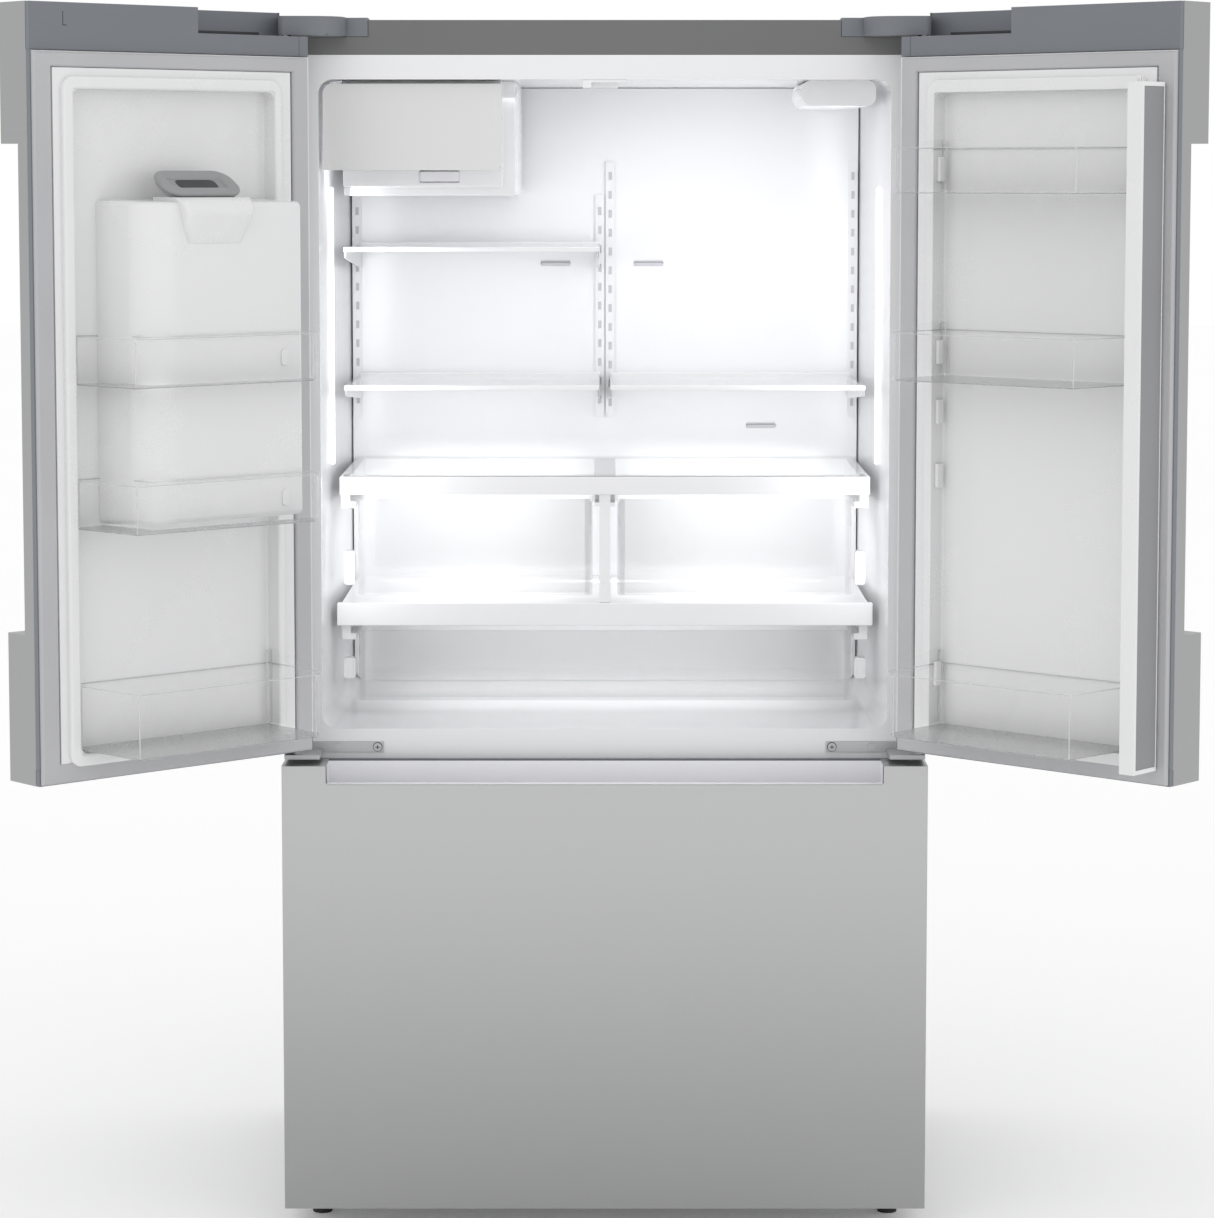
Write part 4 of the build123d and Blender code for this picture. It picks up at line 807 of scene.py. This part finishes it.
@dataclass
class Door:
    """One door: its wrap, caps, moulded liner, seal and fittings, measured on the closed left door."""

    side: Side
    floor: float = 60.0
    face: float = 73.0
    dyke: float = 88.0
    recess_across: Pair = (60.0, 385.0)
    recess_zs: Pair = (729.0, 1604.0)
    window_across: Pair = (118.0, 362.0)
    window_zs: Pair = (1060.0, 1450.0)
    seal_outer: Pair = (3.5, 446.0)
    seal_zs: Pair = (692.0, 1652.0)
    seal_width: float = 26.5
    buttons: tuple[float, ...] = ()

    @property
    def body(self) -> str:
        """The body that the door's pieces ride on."""
        return f"{self.side.word}_door"

    def liner(self) -> None:
        """Softens the moulded liner's dyke and recess, and adds the recess's floor and the flange."""
        turn = rest_turn(self.side)
        liner = NodeCopy(f"{self.body}_liner", Finishes.door_liner)
        liner.obj.data.transform(turn.inverted())
        if self.side is Side.RIGHT:
            liner.obj.data.flip_normals()
        at = lambda a, b, depth: max(abs(a.y - deep(depth)), abs(b.y - deep(depth))) < 0.3
        liner.round(lambda a, b: at(a, b, self.dyke) and max(a.x, b.x) < -40.0, 5.5, 4)
        liner.round(lambda a, b: at(a, b, self.floor), 6.0, 4)
        liner.round(lambda a, b: at(a, b, self.face) and max(a.x, b.x) > -3.0, 3.0, 3).ready(turn)
        plate = white(f"{self.body}_recess_floor", self.body)
        plate.box(*span((60.4, 384.6), (self.floor - 3.0, self.floor + 0.25), (729.4, 1603.6)))
        if self.side is Side.LEFT:
            plate.hollow(*span(self.window_across, (self.floor - 10.0, self.floor + 6.0), self.window_zs))
        plate.ready(turn)
        corners = white(f"{self.body}_recess_corners", self.body)
        for across, lean in zip(self.recess_across, (1, -1)):
            for height, rise in zip(self.recess_zs, (1, -1)):
                self.fillet(corners, (-across, height), (-lean, rise))
        corners.ready(turn)
        flange = white(f"{self.body}_flange", self.body)
        flange.box(*span((31.5, 416.5), (73.4, 80.2), (716.0, 1632.0)))
        flange.hollow(*span((50.0, 390.0), (60.0, 100.0), (690.0, 1612.0)))
        flange.round_all(1.2, 2).ready(turn)

    def fillet(self, piece: Piece, corner: Pair, lean: tuple[int, int], radius: float = 9.0) -> None:
        """Adds a small block that rounds one corner of the recess.

        Args:
            piece: The piece to add it to.
            corner: The corner's place across and its height.
            lean: Which way the recess lies from the corner.
            radius: The rounding's radius.
        """
        block = white("corner_block", piece.body)
        across, height = corner
        reach = sorted((across - lean[0] * 1.0, across + lean[0] * radius))
        rise = sorted((height - lean[1] * 1.0, height + lean[1] * radius))
        block.box((reach[0], deep(60.1), rise[0]), (reach[1], deep(self.dyke - 3.0), rise[1]))
        drill = white("corner_drill", piece.body)
        centre = (across + lean[0] * radius, deep(72.0), height + lean[1] * radius)
        drill.rod(centre, radius, 60.0, "Y", 40)
        block.carve(drill)
        piece.join(block)

    def caps(self) -> None:
        """Softens the top and bottom caps."""
        cap = NodeCopy(f"{self.body}_caps", Finishes.cap)
        cap.round(lambda a, b: (a - b).length > 12, 1.2, 2).ready()

    def cap_details(self) -> None:
        """Adds a dark strip painted as the shadow under the cap's raised wall, its clip mark and its end seam."""
        shadow_and_marks = Piece(f"{self.body}_cap_slot", Finishes.dark, self.body, "cap_grey")
        skin = (self.face - 0.4, self.face + 0.12)
        # Dark strip painted as the shadow at the foot of the cap's raised wall.
        shadow_and_marks.box(*span((276.0, 416.0), (8.3, 9.4), (1685.6, 1688.8)))
        if self.side is Side.LEFT:
            shadow_and_marks.box(*span((53.2, 54.5), skin, (DOOR_TOP - 30.0, DOOR_TOP - 12.0)))
            shadow_and_marks.box(*span((53.2, 60.0), skin, (DOOR_TOP - 30.6, DOOR_TOP - 29.4)))
        shadow_and_marks.box(*span((436.6, 437.4), skin, (DOOR_TOP - 62.0, 1683.0)))
        shadow_and_marks.round_all(0.15, 1).ready(rest_turn(self.side))

    def seal(self) -> None:
        """Models the magnetic seal, a closed ring with folds along it."""
        seal = Piece(f"{self.body}_seal", Finishes.gasket, self.body, "gasket")
        seal.box(*span(self.seal_outer, (73.3, 79.0), self.seal_zs))
        seal.faces(lambda centre, normal: abs(normal.y) > 0.9)
        bpy.ops.mesh.inset(thickness=self.seal_width * MM, depth=0.0)
        bpy.ops.mesh.bridge_edge_loops()
        seal.done()
        under_top = lambda centre, normal: normal.z < -0.9 and centre.z > self.seal_zs[1] - 40.0
        seal.shift(under_top, (0.0, 0.0, 7.0))
        face = lambda centre, normal: normal.y > 0.95 and centre.y > deep(78.0)
        for width, push in ((1.6, 2.4), (1.4, 0.0), (0.5, -0.5), (0.5, 0.5)):
            seal.faces(face)
            bpy.ops.mesh.inset(thickness=width * MM, depth=push * MM)
            seal.done()
        seal.round_all(0.6, 2)
        edging = Piece(f"{self.body}_edging", Finishes.cap, self.body, "cap_grey")
        edging.box(*span((1.8, 3.7), (64.6, 73.6), (711.8, 1654.2)))
        edging.round_all(0.3, 2).ready(rest_turn(self.side))
        seal.ready(rest_turn(self.side))
        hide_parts(f"{self.body}_gasket")

    def bin_buttons(self) -> None:
        """Adds the moulded buttons that the bins hook on."""
        if not self.buttons:
            return
        button = white(f"{self.body}_bin_buttons", self.body)
        for height in self.buttons:
            button.box(*span((379.5, 385.4), (66.0, 80.0), (height - 17.0, height + 17.0)))
        button.round_all(2.0, 3).ready(rest_turn(self.side))

    def build(self) -> None:
        """Dresses the stainless wrap and builds the rest of the door."""
        dress(frame["nodes"][f"{self.body}_skin"].data, Finishes.steel)
        self.liner()
        self.caps()
        self.cap_details()
        self.seal()
        self.bin_buttons()


@dataclass
class Dispenser:
    """The ice and water housing inside the left door and its niche outside."""

    edges: Pair = (109.0, 381.0)
    face_edges: Pair = (130.0, 376.0)
    low: float = 1030.0
    high: float = 1460.0
    base: float = 60.4
    front: float = 158.0
    lip: float = 17.0
    chute: Pair = (169.0, 293.0)
    chute_front: Pair = (146.0, 1465.0)
    chute_back: Pair = (93.0, 1497.5)
    niche_across: Pair = (127.0, 353.0)
    niche_back: float = 113.0
    niche_zs: Pair = (1068.0, 1442.0)
    bin_heights: Pair = (1059.0, 1249.0)

    def housing(self) -> None:
        """Models the rounded housing, with the wide soft corner on its free side."""
        near, far = self.face_edges
        body = white("dispenser_housing_moulded", "left_door")
        body.box(*span(self.edges, (self.base, self.front), (self.low, self.high)))
        front = lambda centre, normal: normal.y > 0.9
        body.faces(front)
        scale = (far - near) / (self.edges[1] - self.edges[0])
        bpy.ops.transform.resize(value=(scale, 1.0, 0.985))
        body.done()
        body.shift(front, (((self.edges[0] + self.edges[1]) - (near + far)) / 2, 0.0, 0.0))
        on_front = lambda a, b: min(a.y, b.y) > deep(self.front - 1.0)
        upright = lambda a, b: on_front(a, b) and abs(a.z - b.z) > 100
        body.round(lambda a, b: upright(a, b) and max(a.x, b.x) > -near - 8.0, 44.0, 12)
        body.round(lambda a, b: upright(a, b) and max(a.x, b.x) < -far + 8.0, 7.0, 4)
        body.round(lambda a, b: min(a.z, b.z) > self.high - 12.0, 9.0, 5)
        body.round(lambda a, b: max(a.z, b.z) < self.low + 12.0, 9.0, 5)
        body.hollow(*span(self.niche_across, (self.base - 10.0, self.niche_back), self.niche_zs))
        body.ready(rest_turn(Side.LEFT))
        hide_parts("dispenser_housing")

    def hump(self) -> None:
        """Models the chute's moulded lip, which tapers back into the housing's face."""
        near, far = self.chute
        hump = white("dispenser_hump", "left_door")
        depths, heights = (100.0, self.front + self.lip), (self.high - 62.0, self.high + 3.0)
        hump.box(*span((near + 4.0, far - 4.0), depths, heights))
        bottom = lambda centre, normal: normal.z < -0.9
        hump.faces(bottom)
        bpy.ops.transform.resize(value=(0.76, 1.0, 1.0))
        hump.done()
        hump.cut((0.0, deep(self.front + self.lip), self.high - 22.0), (0.0, 0.92, -0.4))
        hump.cut((0.0, deep(self.front + self.lip), self.high - 8.0), (0.0, 13.0, 29.0))
        hump.round(lambda a, b: min(a.y, b.y) > deep(self.front - 4.0), 9.0, 5)
        hump.ready(rest_turn(Side.LEFT), angle=60.0)

    def mouth(self) -> None:
        """Models the two soft grey lips of the ice chute, and a dark plate painted as the shade inside them."""
        near, far = self.chute
        low = Vector((0.0, deep(self.chute_front[0]), self.chute_front[1]))
        high = Vector((0.0, deep(self.chute_back[0]), self.chute_back[1]))
        run = high - low
        out = Vector((0.0, run.z, -run.y)).normalized()
        tilt = Matrix((Vector((1, 0, 0)), run.normalized(), out)).transposed().to_4x4()
        middle = Matrix.Translation((Vector((-(near + far) / 2, 0, 0)) + (low + high) / 2) * MM)
        place = rest_turn(Side.LEFT) @ middle @ tilt
        width, length = (far - near) / 2, run.length / 2 - 1.0
        top = lambda centre, normal: normal.z > 0.9 and centre.length < 14
        upper = Piece("chute_upper_lip", Finishes.chute, "left_door", "gasket")
        upper.box((-width, -length, -3.4), (width, length, 2.6))
        upper.round(lambda a, b: abs(a.z - b.z) > 2, 24.0, 8)
        upper.round(lambda a, b: max(a.z, b.z) > 2.5 or min(a.z, b.z) < -3.3, 2.8, 4)
        upper.faces(top)
        bpy.ops.mesh.inset(thickness=12.0 * MM, depth=0.0)
        bpy.ops.mesh.inset(thickness=3.0 * MM, depth=-2.4 * MM)
        bpy.ops.mesh.inset(thickness=1.0 * MM, depth=-1.6 * MM)
        upper.done()
        upper.ready(place, angle=60.0)
        lower = Piece("chute_lower_lip", Finishes.chute, "left_door", "gasket")
        lower.box((-width + 5, -length + 3, -10.0), (width - 5, length - 3, -3.8))
        lower.round(lambda a, b: abs(a.z - b.z) > 2, 20.0, 8)
        lower.round(lambda a, b: max(a.z, b.z) > -3.9 or min(a.z, b.z) < -9.9, 2.6, 4)
        lower.ready(place, angle=60.0)
        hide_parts("chute_gasket")
        # A dark plate painted as the shade in the chute's opening.
        throat_shade = Piece("chute_throat", Finishes.dark, "left_door", "grey_plastic")
        throat_shade.box((-width + 30, -length + 20, -2.6), (width - 30, length - 20, -1.0))
        throat_shade.round(lambda a, b: abs(a.z - b.z) > 1, 7.0, 4).ready(place)

    def fittings(self) -> None:
        """Adds the bumps that hold the bins against the housing and softens the outside niche."""
        bump = white("housing_bumps", "left_door")
        for height in self.bin_heights:
            depths = (self.front - 1.0, self.front + 3.0)
            bump.box(*span((338.0, 349.0), depths, (height - 12.0, height + 10.0)))
        bump.round(lambda a, b: abs(a.y - b.y) > 1, 4.0, 4)
        bump.round_all(0.8, 2).ready(rest_turn(Side.LEFT))
        NodeCopy("dispenser_niche", Finishes.dark).round(lambda a, b: (a - b).length > 20, 1.2, 2).ready()
        NodeCopy("dispenser_paddle", Finishes.grip).round(lambda a, b: (a - b).length > 5, 1.2, 3).ready()

    def build(self) -> None:
        """Builds the dispenser."""
        self.housing()
        self.hump()
        self.mouth()
        self.fittings()


# ---- cabinet


class Cabinet:
    """The case, liners, hinges and the frame's other plain nodes, dressed and softened."""

    dressed: dict[object, tuple[str, ...]] = {
        Finishes.case: ("outer_case", "back_panel", "base_tray"),
        Finishes.foam: ("insulation",),
        Finishes.drawer_steel: ("freezer_skin",),
        Finishes.trim: ("shelf_tracks", "evaporator_fan"),
        Finishes.enamel: ("compressor",),
        Finishes.fins: ("condenser", "evaporator"),
        Finishes.dark: ("condenser_fan", "cord_gland", "rear_rollers"),
        Finishes.zinc: ("drawer_rails", "drawer_slides", "ice_auger"),
        Finishes.gasket: ("freezer_gasket",),
        Finishes.frosted: ("lower_basket", "upper_basket", "ice_bucket"),
    }
    softened: dict[object, dict[str, float]] = {
        Finishes.strip: {"top_strip": 1.2},
        Finishes.cap: {"hinge_covers": 1.8, "freezer_inner_panel": 1.0},
        Finishes.liner: {
            "fresh_food_liner": 0.8, "freezer_liner": 0.8, "rear_duct": 1.0, "filter_housing": 5.0,
            "mullion_guide": 0.7, "ice_box": 2.5, "evaporator_cover": 0.6},
        Finishes.ice_white: {"ice_bucket_cover": 3.0},
        Finishes.trim: {"shelf_frames": 1.0, "crisper_frame": 1.2, "pan_lid": 1.6},
        Finishes.glass: {"glass_panes": 0.8},
        Finishes.zinc: {"top_hinges": 0.8, "lower_hinges": 0.8},
        Finishes.grip: {"grip_channel": 0.5},
        Finishes.door_liner: {"mullion_bar": 1.5},
        Finishes.plate: {"mullion_plate": 0.5},
        Finishes.rubber: {"left_foot": 1.5, "right_foot": 1.5},
        Finishes.lamp: {"light_strips": 0.8},
        Finishes.frosted: {"left_crisper": 1.0, "right_crisper": 1.0, "wide_pan": 1.0},
    }

    def build(self) -> None:
        """Dresses the plain nodes and softens the moulded ones."""
        for finish, nodes in self.dressed.items():
            for node in nodes:
                dress(frame["nodes"][node].data, finish)
        for finish, widths in self.softened.items():
            for node, width in widths.items():
                long_edge = lambda a, b, least=3.0 * width: (a - b).length > least
                NodeCopy(node, finish).round(long_edge, width, 2).ready()


@dataclass
class CabinetFittings:
    """The small parts inside the cabinet: painted shade in the track slots, louvres, stops, screws and the ice
    maker's latch.
    """

    track_front: float = 556.0
    track_low: float = 1122.0
    tracks: tuple[Pair, ...] = ((-381.0, 1462.0), (-8.0, 1462.0), (8.0, 1512.0), (381.0, 1512.0))
    pitch: float = 29.0
    slot_half: Pair = (2.4, 5.9)
    vents: tuple[Pair, ...] = ((-76.0, 1357.0), (67.0, 1357.0), (241.0, 1107.0))
    vent_half: float = 22.0
    vent_back: float = 560.6
    stop_across: float = 363.0
    stop_depths: Pair = (213.0, 231.0)
    stops: tuple[tuple[float, float, float], ...] = ((899.0, 948.0, 16.0), (762.0, 792.0, 17.0))
    screw: Pair = (322.6, 683.0)

    def track_slots(self) -> None:
        """Adds grey plates at the backs of the shelf track's slots, painted as the shade inside them."""
        slots = Piece("track_slot_backs", Finishes.inset, "cabinet", "white_trim")
        wide, tall = self.slot_half
        for across, top in self.tracks:
            count = int((top - self.track_low) / self.pitch)
            first = (top + self.track_low) / 2 - (count - 1) * self.pitch / 2
            for index in range(count):
                height = first + index * self.pitch
                slots.box((across - wide, deep(self.track_front + 1.2), height - tall),
                          (across + wide, deep(self.track_front + 2.0), height + tall))
        slots.ready()

    def louvres(self) -> None:
        """Adds a two-blade louvre behind each air vent, grey as painted shade inside the vent."""
        blades = Piece("vent_louvres", Finishes.inset, "cabinet", "white_liner")
        for across, height in self.vents:
            near, far = across - self.vent_half, across + self.vent_half
            for depth, low, high in ((559.0, -4.2, 1.4), (558.4, 2.2, 4.2)):
                blades.box((near, deep(depth), height + low), (far, deep(self.vent_back), height + high))
        blades.round_all(0.2, 1).ready()

    def drawer_stops(self) -> None:
        """Adds the white stops at the sides of the drawers."""
        stop = Piece("drawer_stops", Finishes.trim, "cabinet", "white_trim")
        for side in (-1, 1):
            for low, high, width in self.stops:
                near, far = sorted((side * self.stop_across, side * (self.stop_across + width)))
                stop.box((near, deep(self.stop_depths[0]), low), (far, deep(self.stop_depths[1]), high))
        stop.round(lambda a, b: abs(a.y - b.y) > 5, 4.0, 4)
        stop.faces(lambda centre, normal: normal.y < -0.9)
        bpy.ops.mesh.inset(thickness=3.0 * MM, depth=0.0)
        bpy.ops.mesh.extrude_region_move(TRANSFORM_OT_translate={"value": (0.0, 1.2 * MM, 0.0)})
        stop.done()
        stop.round_all(0.6, 2).ready()

    def plate_screws(self) -> None:
        """Adds the cross-head screws of the lower hinge plates, with dark crosses and rings painted as the shade
        in their recesses and round their heads.
        """
        screw = Piece("hinge_plate_screws", Finishes.zinc, "cabinet", "zinc_steel")
        slot = Piece("hinge_plate_screw_slots", Finishes.dark, "cabinet", "zinc_steel")
        across, height = self.screw
        for side in (-1, 1):
            screw.rod((side * across, deep(77.5), height), 5.9, 1.6, "Y", 28)
            # Dark disc behind each head: painted shadow round the screw.
            slot.rod((side * across, deep(79.9), height), 6.8, 0.6, "Y", 28)
            # Dark cross on each head: painted shade in its recess.
            for wide, tall in ((3.0, 0.6), (0.6, 3.0)):
                slot.box((side * across - wide, deep(76.55), height - tall),
                         (side * across + wide, deep(76.90), height + tall))
        screw.round(lambda a, b: max(a.y, b.y) < deep(77.5), 0.6, 2).ready(angle=40.0)
        slot.ready()

    def ice_latch(self) -> None:
        """Adds the ice bin's pale latch under its cover."""
        latch = Piece("ice_latch", Finishes.grip, "cabinet", "white_liner")
        latch.box((-262.0, deep(139.6), 1483.0), (-206.0, deep(141.6), 1497.0))
        latch.round(lambda a, b: abs(a.y - b.y) > 1, 2.0, 3)
        latch.round_all(0.5, 2).ready()

    def build(self) -> None:
        """Builds the fittings."""
        self.track_slots()
        self.louvres()
        self.drawer_stops()
        self.plate_screws()
        self.ice_latch()


# ---- light, floor and camera


PALE_BLUE: Colour = (0.975, 0.972, 1.0)
STRIP: Pair = (0.07, 0.72)


@dataclass(frozen=True)
class Lamp:
    """One soft box."""

    name: str
    place: Point
    target: Point
    size: Pair
    power: float
    spread_deg: float = 180.0
    colour: Colour = (1.0, 1.0, 1.0)

    def build(self) -> None:
        """Adds the lamp, which the camera doesn't see."""
        data = bpy.data.lights.new(self.name, "AREA")
        data.shape = "RECTANGLE"
        data.size, data.size_y = self.size
        data.energy = self.power
        data.spread = math.radians(self.spread_deg)
        data.color = self.colour
        lamp = bpy.data.objects.new(self.name, data)
        bpy.context.collection.objects.link(lamp)
        lamp.location = self.place
        lamp.rotation_euler = (Vector(self.target) - Vector(self.place)).to_track_quat("-Z", "Y").to_euler()
        lamp.visible_camera = False


@dataclass
class Studio:
    """The pale floor, soft light and camera; its lens and sensor are in millimetres."""

    floor_size: float = 60.0
    eye: Point = (3.16, 4877.5, 1491.8)
    pitch_deg: float = -5.055
    lens: float = 104.203
    sensor: float = 36.0
    shift: Pair = (0.0, -0.1)
    surround: float = 1.16
    lamps: tuple[Lamp, ...] = (
        Lamp("key_light", (-2.2, -4.2, 3.6), (0.0, 0.0, 0.9), (3.0, 2.4), 12.0),
        Lamp("fill_light", (2.8, -4.0, 2.2), (0.0, 0.0, 0.9), (2.4, 2.4), 6.0),
        Lamp("left_strip_light", (-0.384, -0.02, 1.25), (0.1, 0.4, 1.2), STRIP, 1.05, 160.0, PALE_BLUE),
        Lamp("right_strip_light", (0.384, -0.02, 1.25), (-0.1, 0.4, 1.2), STRIP, 0.8, 160.0, PALE_BLUE),
        Lamp("top_light", (0.05, 0.12, 1.615), (0.05, 0.16, 1.2), (0.5, 0.3), 0.5, 160.0, PALE_BLUE),
        Lamp("left_crisper_light", (-0.19, 0.2, 1.02), (-0.19, 0.28, 0.8), (0.30, 0.26), 0.62),
        Lamp("right_crisper_light", (0.19, 0.2, 1.02), (0.19, 0.28, 0.8), (0.30, 0.26), 0.62),
        Lamp("pan_light", (0.0, 0.2, 0.829), (0.0, 0.26, 0.7), (0.66, 0.26), 0.75),
    )

    def floor(self) -> None:
        """Adds the floor."""
        deselect()
        bpy.ops.mesh.primitive_plane_add(size=self.floor_size, location=(0.0, 0.0, 0.0))
        ground = bpy.context.object
        ground.name = "studio_floor"
        shader = Shader("studio_floor")
        cloud = shader.noise(0.6)
        shader.set(Base_Color=shader.blend(cloud, (0.95, 0.95, 0.95), (0.975, 0.975, 0.975)), Roughness=0.9)
        shader.set(Emission_Color=(1.0, 1.0, 1.0, 1.0), Emission_Strength=0.09)
        ground.data.materials.append(shader.material)

    def world(self) -> None:
        """Sets the even studio surround: white behind, and a little stronger as light."""
        world = bpy.data.worlds.new("studio")
        bpy.context.scene.world = world
        world.use_nodes = True
        nodes, links = world.node_tree.nodes, world.node_tree.links
        output = next(node for node in nodes if node.type == "OUTPUT_WORLD")
        seen, lit = nodes["Background"], nodes.new("ShaderNodeBackground")
        seen.inputs["Strength"].default_value = 1.0
        seen.inputs["Color"].default_value = (1.0, 1.0, 1.0, 1.0)
        lit.inputs["Strength"].default_value = self.surround
        path, mix = nodes.new("ShaderNodeLightPath"), nodes.new("ShaderNodeMixShader")
        links.new(path.outputs["Is Camera Ray"], mix.inputs[0])
        links.new(lit.outputs[0], mix.inputs[1])
        links.new(seen.outputs[0], mix.inputs[2])
        links.new(mix.outputs[0], output.inputs["Surface"])

    def camera(self) -> None:
        """Adds the camera."""
        data = bpy.data.cameras.new("camera")
        data.lens = self.lens
        data.sensor_width = self.sensor
        data.shift_x, data.shift_y = self.shift
        camera = bpy.data.objects.new("camera", data)
        bpy.context.collection.objects.link(camera)
        across, away, height = self.eye
        camera.location = (across * MM, (FRONT - away) * MM, height * MM)
        camera.rotation_euler = (math.radians(90.0 + self.pitch_deg), 0.0, 0.0)
        data.clip_start, data.clip_end = 0.1, 200.0
        bpy.context.scene.camera = camera

    def build(self) -> None:
        """Sets up the studio."""
        self.camera()
        self.floor()
        self.world()
        for lamp in self.lamps:
            lamp.build()
        bpy.context.scene.view_settings.view_transform = "Standard"


def main() -> None:
    """Builds the refrigerator's pieces in order."""
    logging.basicConfig(level=logging.INFO, format="%(message)s")
    Studio().build()
    Cabinet().build()
    CabinetFittings().build()
    low_bin, middle_bin = (733.0, 819.0), (1217.0, 1281.0)
    housing_bin, high_bin = (1027.0, 1091.0), (1468.0, 1528.5)
    Door(Side.LEFT).build()
    Door(Side.RIGHT, buttons=(805.0, 1080.0, 1168.0, 1250.0, 1500.0)).build()
    DoorBins(Side.LEFT, ((*low_bin, False), (*housing_bin, True), (*middle_bin, True))).build()
    DoorBins(Side.RIGHT, ((*low_bin, False), (*middle_bin, False), (*high_bin, False))).build()
    Dispenser().build()


if __name__ == "__main__":
    main()
